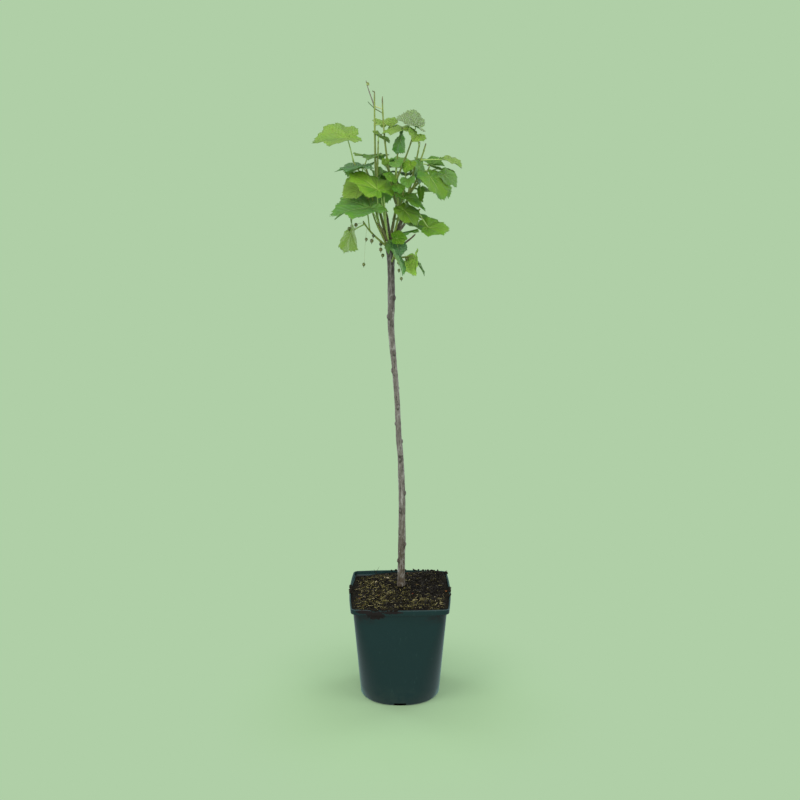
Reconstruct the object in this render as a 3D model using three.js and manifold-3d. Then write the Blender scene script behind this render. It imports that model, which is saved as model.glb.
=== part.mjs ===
// A young blackcurrant grown as a standard: one bare stem with a small open crown, in a square nursery pot.
// Millimetres, +Z up. The origin is the centre of the pot's flat underside.
import * as THREE from "three";
import { mergeVertices } from "three/addons/utils/BufferGeometryUtils.js";
import Module from "manifold-3d";

const wasm = await Module();
wasm.setup();

// Space left between neighbouring pieces.
const CLEAR = 0.3;

// Pot: square at the rim, nearly round at the base.
const POT_HEIGHT = 195.6;
const POT_WALL = 1.9;
const POT_FLOOR = 2.2;
const CORNER_STEPS = 5;
const SIDE_STEPS = 4;
// Outer sections of the pot's body: height, half the width, corner radius and how far the sides bow out.
const POT_FOOT = { z: 0, half: 71.2, corner: 62, bow: 0 };
const POT_HEEL = { z: 2.5, half: 72.6, corner: 62.5, bow: 0.1 };
const POT_SHOULDER = { z: 184.6, half: 83.4, corner: 13, bow: 3.6 };
const POT_RINGS = 3;
// The lip stands out from the body as a band.
const LIP_FOOT = { z: 186.4, half: 87.6, corner: 9.5, bow: 3.9 };
const LIP_HEAD = { z: 194.9, half: 88.2, corner: 9.5, bow: 4.1 };
const LIP_CREST = { z: POT_HEIGHT, half: 87.5, corner: 9, bow: 4.1 };
const LIP_BORE = { half: 85.7, corner: 7.6, bow: 4 };
const LIP_STEP = { low: 186.4, high: 189.4 };
const DRAIN = { width: 22, height: 4.4, depth: 13, reach: 74 };

// Compost: heaped against the trunk, lower towards the rim.
const SOIL_TOP = 201.7;
const SOIL_DISC = 13;
const SOIL_EDGE = { level: 191.2, slope: -0.03, spread: 38 };
const SOIL_HEAP = { x: 66, y: 66, rise: 4.6 };
const SOIL_DIP = { x: -60, y: 66, rise: -3.2 };
const SOIL_WAVES = { long: [0.11, 1.3, 0.13, -0.4], short: [0.29, -0.23] };
const SOIL_RINGS = [0.93, 0.8, 0.64, 0.48, 0.33, 0.22];
const SOIL_ROUGH = 1.3;
const SOIL_BRINK = 0.6;

// Trunk: how far its centre leans and its radius, by height.
const TRUNK = [
  { z: 202, lean: 1.6, radius: 8.2 },
  { z: 214, lean: 1.9, radius: 7.1 },
  { z: 245, lean: 2.6, radius: 6.6 },
  { z: 305, lean: 3.6, radius: 6.3 },
  { z: 366, lean: 3.6, radius: 6 },
  { z: 442, lean: 1.4, radius: 5.6 },
  { z: 501, lean: -2.6, radius: 5 },
  { z: 560, lean: -5.3, radius: 4.7 },
  { z: 618, lean: -10.1, radius: 4.8 },
  { z: 689, lean: -15.4, radius: 5.6 },
  { z: 740, lean: -14.6, radius: 6.4 },
  { z: 800, lean: -15.6, radius: 6.1 },
  { z: 822, lean: -16, radius: 8.4 },
  { z: 829, lean: -16, radius: 10.9 },
  { z: 836, lean: -16, radius: 10.9 },
];
const TRUNK_RINGS = 24;
const NECK = 820;
const NECK_RINGS = [824.5, 829, 833.5];
const HEAD_BEVEL = 2.4;
const TRUNK_SIDES = 9;
const FLARE = { share: 0.13, lobes: 3, turn: 0.6, fade: 12 };
// Leaf scars climb the trunk in a spiral.
const SCARS = { from: 254, to: 745, step: 32.3, turn: 129, start: 200, wide: 3, tall: 4.2, proud: 1.4 };

// Boughs stand in a ring on the pruned head of the trunk, one in its middle.
const HEAD = { x: -16, y: 0, z: 836, ring: 7.5 };
const BOUGH_FOOT = 3;
const BOUGH_TIP = 2.2;
const BOUGH_PUSH = [0, 0, 6];
const BOUGHS = [
  { name: "bough_left", side: 155, tip: [-39, 6, 908] },
  { name: "bough_left_low", side: 212, tip: [-36, -8, 866] },
  { name: "bough_middle", ring: 0, side: 0, tip: [-6, 14, 896] },
  { name: "bough_right", side: 352, tip: [9, -2, 886] },
  { name: "bough_right_low", side: 300, tip: [8, -14, 868] },
  { name: "bough_back", side: 100, tip: [-22, 36, 872] },
  { name: "bough_back_right", side: 46, tip: [8, 34, 882] },
];
const BOUGH_STEPS = 5;
const BOUGH_SIDES = 7;

// How a shoot bends on its way: where its two handles stand between foot and tip.
const SHOOT_NEAR = [0.2, 0.2, 0.25];
const SHOOT_FAR = [0.75, 0.75, 0.62];
const SHOOT_PUSH = 0.5;

// Masses that leave the trunk itself start inside it and are trimmed to its bark.
const TRUNK_STARTS = { trunk_head: [-16, 0, 822], trunk_side: [-15, 0, 798] };

// Leaf outline: length from the stalk by angle from the midrib, for a blade one unit long.
const LOBES = [
  [0, 1], [12, 0.95], [24, 0.87], [36, 0.85], [48, 0.885], [60, 0.83], [75, 0.75],
  [92, 0.71], [108, 0.65], [126, 0.55], [145, 0.42], [165, 0.24], [180, 0.07],
];
const BLADE_ANGLES = [0, 15, 32, 48, 66, 92, 122, 154];
const BLADE_INNER = 0.5;
const BLADE_LONG = 39;
const BLADE_CURL = 0.18;
const BLADE_THICK = 1;
const STALK = { foot: 1.15, head: 0.8, sink: 1.6, into: 2.4, steps: 3, sides: 3 };
const CANE = { foot: 2, tip: 1.1, sides: 5, steps: 6 };
const JITTER = { azimuth: 1, droop: 1.5, rise: 1, stalk: 0.015, blade: 0.015, roll: 2 };
const STRIG = { thick: 0.5, steps: 4, sides: 3, berry: 2.8, from: 0.4, out: 2.1, bend: [0.8, 0.3], hang: 0.6 };
// The crown keeps inside this half-width, half-depth and span of height, and off its limbs.
const CROWN_SPACE = { x: -20, width: 128, depth: 116, low: 765, high: 1104 };
const LIMB_CLEAR = 1.5;
const LIMB_SAMPLES = { from: 700, step: 8, perBough: 6 };

const FRESH = 0x6f9433;
const LIGHT = 0x86a648;
const MID = 0x5c8238;
const BLUE = 0x4f7550;
const DEEP = 0x3c5f2c;
const POT_GREEN = 0x22403a;
const SOIL_BROWN = 0x38301f;
const BARK_GREY = 0x7a6f5d;
const BARK_DARK = 0x4c4033;

// Each mass grows from one stem. A cane's pairs run from its first leaf to its last: place along the cane,
// stalk azimuth (first, then turn for each next leaf), stalk rise and length, twist of the blade from the stalk,
// droop, roll, blade length and fold.
const MASSES = [
  {
    name: "mass_top_left", on: "bough_left", seed: 11, push: [-2, 0, 8], green: FRESH,
    canes: [
      { root: 0, tip: [-43.5, 6, 1075], leaves: 2, first: 247, turn: 162,
        at: [0.4, 0.74], rise: [47, -2], petiole: [10, 29], twist: [0, 60],
        droop: [4, -24], roll: [5, -3], blade: [22, 29], fold: [0.25, 0.28] },
      { root: 0.86, tip: [-55, 6, 1093], leaves: 1, first: 351, turn: 0,
        at: [0.86, 0.86], rise: [3, 3], petiole: [1, 1], twist: [-151, -151],
        droop: [-70, -70], roll: [0, 0], blade: [8, 8], fold: [0.7, 0.7] },
      { root: 0.04, tip: [-36, -10, 1006], leaves: 1, first: 225, turn: 0,
        at: [0.98, 0.98], rise: [88, 88], petiole: [8, 8], twist: [165, 165],
        droop: [22, 22], roll: [14, 14], blade: [24, 24], fold: [0.33, 0.33] },
      { root: 0.03, tip: [-78, 2, 970], leaves: 2, first: 276, turn: -63,
        at: [0.62, 1], rise: [40, 74], petiole: [23, 41], twist: [-89, -23],
        droop: [0, -1], roll: [-4, -18], blade: [46, 58], fold: [0.13, 0.22] },
    ],
  },
  {
    name: "mass_left_front", on: "bough_left_low", seed: 13, push: [0, 0, 8], green: BLUE,
    canes: [
      { root: 0, tip: [-52, -22, 936], leaves: 2, first: 271, turn: -25,
        at: [0.1, 0.02], rise: [52, 44], petiole: [70, 45], twist: [-124, -52],
        droop: [-35, 1], roll: [-1, -13], blade: [58, 66], fold: [0.03, 0.14] },
      { root: 0.3, tip: [-70, -10, 936], leaves: 1, first: 253, turn: 0,
        at: [0.8, 0.8], rise: [18, 18], petiole: [8, 8], twist: [-47, -47],
        droop: [20, 20], roll: [-28, -28], blade: [32, 32], fold: [0.19, 0.19] },
    ],
  },
  {
    name: "mass_left_low", on: "trunk_head", seed: 14, push: [-6, 0, 0], green: LIGHT,
    canes: [
      { root: 0, tip: [-62, -12, 872], leaves: 2, first: 211, turn: -107,
        at: [0.9, 0.7], rise: [-21, 60], petiole: [27, 51], twist: [65, 36],
        droop: [32, 48], roll: [74, 0], blade: [44, 31], fold: [0.4, 0.16] },
    ],
    strigs: [
      { cane: 0, at: 0.8, azimuth: 196, reach: 26, drop: 12, berries: 3 },
      { cane: 0, at: 0.55, azimuth: 200, reach: 8, drop: 70, berries: 3 },
      { cane: 0, at: 0.42, azimuth: 262, reach: 5, drop: 14, berries: 3 },
    ],
  },
  {
    name: "mass_top_middle", on: "bough_middle", seed: 15, push: [-10, 0, 8], green: MID,
    canes: [
      { root: 0, tip: [-30, 13, 1071], leaves: 0 },
      { root: 0.1, tip: [-2, 8, 1010], leaves: 2, first: 282, turn: 35,
        at: [0.8, 0.98], rise: [47, 59], petiole: [26, 17], twist: [-2, -134],
        droop: [40, 4], roll: [70, -6], blade: [28, 36], fold: [0.24, 0.09] },
      { root: 0.15, tip: [22, 6, 1014], leaves: 1, first: 47, turn: 0,
        at: [1, 1], rise: [56, 56], petiole: [14, 14], twist: [151, 151],
        droop: [-26, -26], roll: [-34, -34], blade: [37, 37], fold: [0.54, 0.54] },
    ],
  },
  {
    name: "mass_right_top", on: "bough_right", seed: 16, push: [0, 0, 8], green: FRESH,
    canes: [
      { root: 0, tip: [33, 0, 1002], leaves: 2, first: 249, turn: 136,
        at: [0.95, 0.7], rise: [54, -8], petiole: [22, 30], twist: [9, -17],
        droop: [14, -3], roll: [-33, 25], blade: [24, 22], fold: [0.38, 0.8] },
      { root: 0.35, tip: [43, -6, 1000], leaves: 2, first: 353, turn: 19,
        at: [0.66, 0.46], rise: [2, -10], petiole: [44, 48], twist: [-16, -31],
        droop: [17, 35], roll: [1, 17], blade: [28, 29], fold: [0.19, 0.09] },
      { root: 0.3, tip: [40, -14, 946], leaves: 1, first: 317, turn: 0,
        at: [0.86, 0.86], rise: [16, 16], petiole: [18, 18], twist: [4, 4],
        droop: [42, 42], roll: [0, 0], blade: [45, 45], fold: [0.06, 0.06] },
    ],
  },
  {
    name: "mass_centre", on: "trunk_head", seed: 17, push: [2, -14, 0], green: DEEP,
    canes: [
      { root: 0, tip: [10, -18, 952], leaves: 2, first: 293, turn: -6,
        at: [1, 0.82], rise: [45, 37], petiole: [25, 28], twist: [-68, -16],
        droop: [40, 27], roll: [-6, 10], blade: [18, 19], fold: [0.05, 0.49] },
    ],
  },
  {
    name: "mass_right_low", on: "bough_right_low", seed: 18, push: [0, 0, 8], green: FRESH,
    canes: [
      { root: 0, tip: [34, -12, 892], leaves: 2, first: 232, turn: 123,
        at: [0.35, 0.8], rise: [64, -59], petiole: [37, 32], twist: [121, 16],
        droop: [20, -2], roll: [7, 26], blade: [41, 37], fold: [0.17, 0.06] },
      { root: 0.12, tip: [4, -20, 884], leaves: 1, first: 277, turn: 0,
        at: [0.9, 0.9], rise: [37, 37], petiole: [18, 18], twist: [55, 55],
        droop: [37, 37], roll: [13, 13], blade: [34, 34], fold: [0.05, 0.05] },
    ],
  },
  {
    name: "mass_low_front", on: "trunk_side", seed: 19, push: [0, 0, 0], green: BLUE,
    canes: [
      { root: 0, tip: [0, -14, 834], leaves: 2, first: 245, turn: 29,
        at: [0.85, 0.2], rise: [51, 32], petiole: [21, 19], twist: [118, -2],
        droop: [-4, 14], roll: [43, -66], blade: [20, 36], fold: [0.16, 0.4] },
      { root: 0.3, tip: [22, -8, 812], leaves: 2, first: 324, turn: 58,
        at: [0.85, 1], rise: [-10, -57], petiole: [11, 20], twist: [-62, -23],
        droop: [48, 53], roll: [50, -3], blade: [32, 20], fold: [0.47, 0.21] },
      { root: 0.8, tip: [26, -6, 849], leaves: 0 },
    ],
    strigs: [
      { cane: 0, at: 0.45, azimuth: 300, reach: 9, drop: 42, berries: 3 },
      { cane: 1, at: 0.9, azimuth: 340, reach: 6, drop: 16, berries: 3 },
    ],
  },
  {
    name: "mass_back_left", on: "bough_back", seed: 20, push: [0, 0, 8], green: MID,
    canes: [
      { root: 0, tip: [-48, 53, 920], leaves: 5, first: 174, turn: -47,
        at: [0.45, 1], rise: [-10, 55], petiole: [39, 23], twist: [0, 0],
        droop: [21, 46], roll: [0, 0], blade: [46, 53], fold: [0.16, 0.16] },
      { root: 0.55, tip: [-60, 53, 959], leaves: 3, first: 210, turn: -76,
        at: [0.5, 1], rise: [20, 57], petiole: [24, 17], twist: [0, 0],
        droop: [30, 1], roll: [0, 0], blade: [37, 41], fold: [0.16, 0.16] },
    ],
  },
  {
    name: "mass_back_right", on: "bough_back_right", seed: 21, push: [0, 0, 8], green: MID,
    canes: [
      { root: 0, tip: [32, 49, 946], leaves: 5, first: 33, turn: 38,
        at: [0.4, 1], rise: [8, 52], petiole: [35, 20], twist: [0, 0],
        droop: [3, -15], roll: [0, 0], blade: [41, 43], fold: [0.16, 0.16] },
      { root: 0.5, tip: [50, 50, 955], leaves: 3, first: -32, turn: 60,
        at: [0.6, 1], rise: [-7, 37], petiole: [28, 17], twist: [0, 0],
        droop: [36, -7], roll: [0, 0], blade: [36, 35], fold: [0.16, 0.16] },
    ],
  },
  {
    name: "mass_back_low", on: "trunk_head", seed: 22, push: [0, 10, -4], green: DEEP,
    canes: [
      { root: 0, tip: [-2, 62, 875], leaves: 3, first: 77, turn: -29,
        at: [0.66, 1], rise: [-31, -1], petiole: [26, 24], twist: [0, 0],
        droop: [5, 22], roll: [0, 0], blade: [44, 45], fold: [0.16, 0.16] },
    ],
  },
];

const radians = THREE.MathUtils.degToRad;
const vector = (list) => new THREE.Vector3(...list);
const mix = (a, b, share) => a + (b - a) * share;

// A seeded run of numbers, the same each time.
class Dice {
  constructor(seed) {
    this.state = seed;
  }
  spread(size) {
    this.state = (this.state * 1664525 + 1013904223) % 4294967296;
    return (2 * (this.state / 4294967296) - 1) * size;
  }
}

function bodyOf(points, triangles) {
  const geometry = new THREE.BufferGeometry();
  const flat = points.flatMap((p) => [p.x, p.y, p.z]);
  geometry.setAttribute("position", new THREE.Float32BufferAttribute(flat, 3));
  geometry.setIndex(triangles);
  return geometry;
}

function solidOf(geometry) {
  const bare = geometry.clone();
  bare.deleteAttribute("normal");
  bare.deleteAttribute("uv");
  const merged = mergeVertices(bare, 1e-4);
  return new wasm.Manifold(
    new wasm.Mesh({
      numProp: 3,
      vertProperties: new Float32Array(merged.attributes.position.array),
      triVerts: new Uint32Array(merged.index.array),
    }),
  );
}

function geometryOf(solid) {
  const mesh = solid.getMesh();
  const geometry = new THREE.BufferGeometry();
  geometry.setAttribute("position", new THREE.Float32BufferAttribute(mesh.vertProperties, 3));
  geometry.setIndex(new THREE.Uint32BufferAttribute(mesh.triVerts, 1));
  const flat = geometry.toNonIndexed();
  flat.computeVertexNormals();
  return flat;
}

// The largest body of a solid: a loose scrap is dropped.
function wholeOf(solid) {
  const parts = solid.decompose();
  return parts.reduce((best, part) => (part.volume() > best.volume() ? part : best));
}

// A closed skin over rings of points, each ring counterclockwise seen from above the next one.
function loft(rings) {
  const count = rings[0].length;
  const points = rings.flat();
  const triangles = [];
  for (let r = 0; r + 1 < rings.length; r++) {
    for (let i = 0; i < count; i++) {
      const a = r * count + i;
      const b = r * count + ((i + 1) % count);
      triangles.push(a, b, b + count, a, b + count, a + count);
    }
  }
  const cap = (ring, start, flip) => {
    const centre = ring.reduce((sum, p) => sum.add(p), new THREE.Vector3()).divideScalar(count);
    points.push(centre);
    for (let i = 0; i < count; i++) {
      const pair = [start + i, start + ((i + 1) % count)];
      triangles.push(points.length - 1, ...(flip ? pair.reverse() : pair));
    }
  };
  cap(rings[0], 0, true);
  cap(rings[rings.length - 1], (rings.length - 1) * count, false);
  return bodyOf(points, triangles);
}

// Rings square to a curve. A level foot is cut flat, so that it seats on what carries it.
function limb(curve, steps, sides, radiusAt, levelFoot) {
  const rings = [];
  let across = new THREE.Vector3(1, 0, 0);
  for (let i = 0; i <= steps; i++) {
    const share = i / steps;
    const along = i === 0 && levelFoot ? new THREE.Vector3(0, 0, 1) : curve.getTangent(share);
    across = across.clone().addScaledVector(along, -across.dot(along)).normalize();
    const over = new THREE.Vector3().crossVectors(along, across);
    const centre = curve.getPoint(share);
    const radius = radiusAt(share);
    rings.push(
      Array.from({ length: sides }, (_, k) => {
        const turn = (2 * Math.PI * k) / sides;
        return centre
          .clone()
          .addScaledVector(across, radius * Math.cos(turn))
          .addScaledVector(over, radius * Math.sin(turn));
      }),
    );
  }
  return loft(rings);
}

// The way a shoot takes: it leaves its foot upwards and leans out towards its tip.
function shoot(foot, tip, push) {
  const way = new THREE.Vector3().subVectors(tip, foot);
  const near = vector(SHOOT_NEAR).multiply(way).add(foot).add(push);
  const far = vector(SHOOT_FAR).multiply(way).add(foot).addScaledVector(push, SHOOT_PUSH);
  return new THREE.CubicBezierCurve3(foot, near, far, tip);
}

// One level section of the pot: rounded corners joined by sides that bow out.
function section({ half, corner, bow }, z) {
  const ring = [];
  const inset = half - corner;
  for (let quarter = 0; quarter < 4; quarter++) {
    const turned = (x, y) => {
      const angle = (quarter * Math.PI) / 2;
      const c = Math.round(Math.cos(angle));
      const s = Math.round(Math.sin(angle));
      return new THREE.Vector3(x * c - y * s, x * s + y * c, z);
    };
    for (let i = 0; i <= CORNER_STEPS; i++) {
      const angle = (i / CORNER_STEPS) * (Math.PI / 2);
      ring.push(turned(inset + corner * Math.cos(angle), inset + corner * Math.sin(angle)));
    }
    for (let i = 1; i < SIDE_STEPS; i++) {
      const across = 1 - (2 * i) / SIDE_STEPS;
      ring.push(turned(inset * across, half + bow * (1 - across * across)));
    }
  }
  return ring;
}

function between(low, high, z) {
  const share = (z - low.z) / (high.z - low.z);
  return {
    half: mix(low.half, high.half, share),
    corner: mix(low.corner, high.corner, share),
    bow: mix(low.bow, high.bow, share),
  };
}

// The pot's inner face at a height, set in by a further clearance.
function bore(z, clear) {
  const wall = POT_WALL + clear;
  const body = between(POT_HEEL, POT_SHOULDER, Math.min(z, LIP_STEP.low));
  const lip = { half: LIP_BORE.half + POT_WALL, corner: LIP_BORE.corner + POT_WALL, bow: LIP_BORE.bow };
  const share = Math.min(Math.max((z - LIP_STEP.low) / (LIP_STEP.high - LIP_STEP.low), 0), 1);
  return {
    half: mix(body.half, lip.half, share) - wall,
    corner: mix(body.corner, lip.corner, share) - wall,
    bow: mix(body.bow, lip.bow, share),
  };
}

const BORE_HEIGHTS = Array.from({ length: POT_RINGS + 1 }, (_, i) => mix(POT_FLOOR, LIP_STEP.low, i / POT_RINGS));

function makePot() {
  const rings = [section(POT_FOOT, POT_FOOT.z)];
  for (let i = 0; i <= POT_RINGS; i++) {
    const z = mix(POT_HEEL.z, POT_SHOULDER.z, i / POT_RINGS);
    rings.push(section(between(POT_HEEL, POT_SHOULDER, z), z));
  }
  for (const ring of [LIP_FOOT, LIP_HEAD, LIP_CREST]) rings.push(section(ring, ring.z));
  rings.push(section(LIP_BORE, POT_HEIGHT));
  rings.push(section(bore(LIP_STEP.high, 0), LIP_STEP.high));
  for (const z of BORE_HEIGHTS.toReversed()) rings.push(section(bore(z, 0), z));
  let pot = solidOf(loft(rings));
  for (let side = 0; side < 4; side++) {
    const slot = new THREE.BoxGeometry(DRAIN.width, DRAIN.depth, DRAIN.height * 2);
    slot.translate(0, DRAIN.reach - DRAIN.depth / 2, 0).rotateZ((side * Math.PI) / 2);
    pot = pot.subtract(solidOf(slot));
  }
  return geometryOf(pot);
}

// Height of the compost at a place, by its share of the way from the trunk to the rim.
function groundAt(x, y, share) {
  const mound = (m) => m.rise * Math.exp(-((x - m.x) ** 2 + (y - m.y) ** 2) / SOIL_EDGE.spread ** 2);
  const edge = SOIL_EDGE.level + SOIL_EDGE.slope * y + mound(SOIL_HEAP) + mound(SOIL_DIP);
  const [a, b, c, d] = SOIL_WAVES.long;
  const [e, f] = SOIL_WAVES.short;
  const rough = Math.sin(a * x + b) * Math.cos(c * y + d) + 0.5 * Math.sin(e * x + f * y);
  const rise = 0.5 + 0.5 * Math.cos(Math.PI * share);
  return mix(edge, SOIL_TOP, rise) + SOIL_ROUGH * rough * Math.sin(Math.PI * share);
}

function makeSoil() {
  const [low, ...rest] = BORE_HEIGHTS.slice(0, -1);
  const rings = [low + CLEAR, ...rest].map((z) => section(bore(z, 2 * CLEAR), z));
  const edge = section(bore(LIP_STEP.high, CLEAR), LIP_STEP.high);
  const levels = edge.map((p) => groundAt(p.x, p.y, 1));
  const against = (heights) => heights.map((z, i) => section(bore(z, 2 * CLEAR), z)[i]);
  rings.push(against(levels.map((z) => Math.min(LIP_STEP.low, z - SOIL_BRINK))));
  rings.push(against(levels));
  for (const share of SOIL_RINGS) {
    rings.push(
      edge.map((p) => {
        const x = mix(TRUNK[0].lean, p.x, share);
        const y = p.y * share;
        return new THREE.Vector3(x, y, groundAt(x, y, share));
      }),
    );
  }
  rings.push(
    edge.map((p) => {
      const far = Math.hypot(p.x, p.y);
      return new THREE.Vector3(TRUNK[0].lean + (SOIL_DISC * p.x) / far, (SOIL_DISC * p.y) / far, SOIL_TOP);
    }),
  );
  return geometryOf(solidOf(loft(rings)));
}

// A smooth run through the trunk's named heights.
function trunkAt(z, key) {
  const last = TRUNK.length - 1;
  let i = 0;
  while (i < last - 1 && z > TRUNK[i + 1].z) i++;
  const slope = (k) => {
    const a = TRUNK[Math.max(k - 1, 0)];
    const b = TRUNK[Math.min(k + 1, last)];
    return (b[key] - a[key]) / (b.z - a.z);
  };
  const span = TRUNK[i + 1].z - TRUNK[i].z;
  const t = Math.min(Math.max((z - TRUNK[i].z) / span, 0), 1);
  return (
    (2 * t ** 3 - 3 * t ** 2 + 1) * TRUNK[i][key] +
    (t ** 3 - 2 * t ** 2 + t) * span * slope(i) +
    (3 * t ** 2 - 2 * t ** 3) * TRUNK[i + 1][key] +
    (t ** 3 - t ** 2) * span * slope(i + 1)
  );
}

// The trunk, with its skin moved out by a margin.
function trunkSolid(margin) {
  const foot = TRUNK[0].z;
  const top = TRUNK[TRUNK.length - 1].z;
  const heights = Array.from({ length: TRUNK_RINGS }, (_, i) => mix(foot, NECK, i / (TRUNK_RINGS - 1)));
  heights.push(...NECK_RINGS, top);
  const rings = heights.map((z) => {
    const radius = trunkAt(z, "radius") + margin - (z === top ? HEAD_BEVEL : 0);
    const flare = FLARE.share * Math.exp(-(z - foot) / FLARE.fade);
    return Array.from({ length: TRUNK_SIDES }, (_, k) => {
      const turn = (2 * Math.PI * k) / TRUNK_SIDES;
      const reach = radius * (1 + flare * Math.cos(FLARE.lobes * turn + FLARE.turn));
      return new THREE.Vector3(trunkAt(z, "lean") + reach * Math.cos(turn), reach * Math.sin(turn), z);
    });
  });
  return solidOf(loft(rings));
}

function makeTrunk() {
  let trunk = trunkSolid(0);
  let turn = SCARS.start;
  for (let z = SCARS.from; z < SCARS.to; z += SCARS.step) {
    const scar = new THREE.IcosahedronGeometry(1, 0);
    scar.scale(SCARS.proud * 2, SCARS.wide, SCARS.tall).translate(trunkAt(z, "radius") - SCARS.proud, 0, 0);
    scar.rotateZ(radians(turn)).translate(trunkAt(z, "lean"), 0, z);
    trunk = trunk.add(solidOf(scar));
    turn += SCARS.turn;
  }
  return geometryOf(trunk);
}

function boughCurve({ side, ring = HEAD.ring, tip }) {
  const turn = radians(side);
  const foot = new THREE.Vector3(HEAD.x + ring * Math.cos(turn), HEAD.y + ring * Math.sin(turn), HEAD.z + CLEAR);
  return shoot(foot, vector(tip), vector(BOUGH_PUSH));
}

function leafRadius(angle) {
  let i = 0;
  while (i < LOBES.length - 2 && angle > LOBES[i + 1][0]) i++;
  return mix(LOBES[i][1], LOBES[i + 1][1], (angle - LOBES[i][0]) / (LOBES[i + 1][0] - LOBES[i][0]));
}

// The blade's own frame: along the midrib, across it and up from its upper face.
function bladeFrame({ azimuth, droop, roll }) {
  const [a, d, r] = [azimuth, droop, roll].map(radians);
  const along = new THREE.Vector3(Math.cos(a) * Math.cos(d), Math.sin(a) * Math.cos(d), -Math.sin(d));
  const level = new THREE.Vector3(-Math.sin(a), Math.cos(a), 0);
  const up = new THREE.Vector3().crossVectors(along, level);
  const across = level.multiplyScalar(Math.cos(r)).addScaledVector(up, Math.sin(r));
  return { along, across, up: new THREE.Vector3().crossVectors(along, across) };
}

// A place on the blade, by its angle from the midrib and its share of the way to the edge.
function bladePoint(leaf, frame, angle, share, lift) {
  const reach = leafRadius(Math.min(angle, 360 - angle)) * leaf.blade * share;
  const ahead = reach * Math.cos(radians(angle));
  const aside = reach * Math.sin(radians(angle));
  const fold = Math.atan(leaf.fold);
  const rise = Math.sin(fold) * Math.abs(aside) - (BLADE_CURL * Math.max(ahead, 0) ** 2) / leaf.blade;
  return leaf.joint
    .clone()
    .addScaledVector(frame.along, ahead)
    .addScaledVector(frame.across, aside * Math.cos(fold))
    .addScaledVector(frame.up, rise + lift);
}

// A thin closed blade. A short one spans from stalk to edge in one go, a long one bends at a ring between.
function bladeSolid(leaf) {
  const frame = bladeFrame(leaf);
  const angles = [...BLADE_ANGLES, 180, ...BLADE_ANGLES.slice(1).reverse().map((a) => 360 - a)];
  const count = angles.length;
  const shares = leaf.blade > BLADE_LONG ? [BLADE_INNER, 1] : [1];
  const points = [];
  for (const lift of [BLADE_THICK / 2, -BLADE_THICK / 2]) {
    points.push(bladePoint(leaf, frame, 0, 0, lift));
    for (const share of shares) {
      for (const angle of angles) points.push(bladePoint(leaf, frame, angle, share, lift));
    }
  }
  const under = 1 + shares.length * count;
  const triangles = [];
  const both = (a, b, c) => triangles.push(a, b, c, a + under, c + under, b + under);
  for (let i = 0; i < count; i++) {
    let [a, b] = [1 + i, 1 + ((i + 1) % count)];
    both(0, a, b);
    if (shares.length > 1) {
      both(a, a + count, b + count);
      both(a, b + count, b);
      [a, b] = [a + count, b + count];
    }
    triangles.push(a, a + under, b, b, a + under, b + under);
  }
  return solidOf(bodyOf(points, triangles));
}

// The leaves of one cane, by its rule.
function leavesOf(cane, curve, dice) {
  return Array.from({ length: cane.leaves }, (_, i) => {
    const share = cane.leaves > 1 ? i / (cane.leaves - 1) : 0;
    const at = (key) => mix(cane[key][0], cane[key][1], share);
    const turn = cane.first + i * cane.turn + dice.spread(JITTER.azimuth);
    const droop = at("droop") + dice.spread(JITTER.droop);
    const rise = radians(at("rise") + dice.spread(JITTER.rise));
    const stalk = at("petiole") * (1 + dice.spread(JITTER.stalk));
    const blade = at("blade") * (1 + dice.spread(JITTER.blade));
    const roll = at("roll") + dice.spread(JITTER.roll);
    const node = curve.getPoint(at("at"));
    const a = radians(turn);
    const joint = new THREE.Vector3(Math.cos(a) * Math.cos(rise), Math.sin(a) * Math.cos(rise), Math.sin(rise))
      .multiplyScalar(stalk)
      .add(node);
    return { node, joint, azimuth: turn + at("twist"), droop, roll, blade, fold: at("fold") };
  });
}

// Whether a leaf keeps inside the crown's space and off the trunk and boughs.
function keepsClear(leaf, limbs) {
  const frame = bladeFrame(leaf);
  return BLADE_ANGLES.every((angle) =>
    [angle, (360 - angle) % 360].every((side) => {
      const p = bladePoint(leaf, frame, side, 1, 0);
      const inside =
        Math.abs(p.x - CROWN_SPACE.x) < CROWN_SPACE.width &&
        Math.abs(p.y) < CROWN_SPACE.depth &&
        p.z > CROWN_SPACE.low &&
        p.z < CROWN_SPACE.high;
      return inside && limbs.every(({ point, radius }) => p.distanceTo(point) > radius + LIMB_CLEAR);
    }),
  );
}

function stalkSolid(leaf) {
  const way = new THREE.Vector3().subVectors(leaf.joint, leaf.node).normalize();
  const foot = leaf.node.clone().addScaledVector(way, -STALK.sink / 2);
  const head = leaf.joint.clone().addScaledVector(bladeFrame(leaf).along, STALK.into);
  const curve = new THREE.QuadraticBezierCurve3(foot, leaf.joint.clone(), head);
  return solidOf(limb(curve, STALK.steps, STALK.sides, (share) => mix(STALK.foot, STALK.head, share), false));
}

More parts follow.
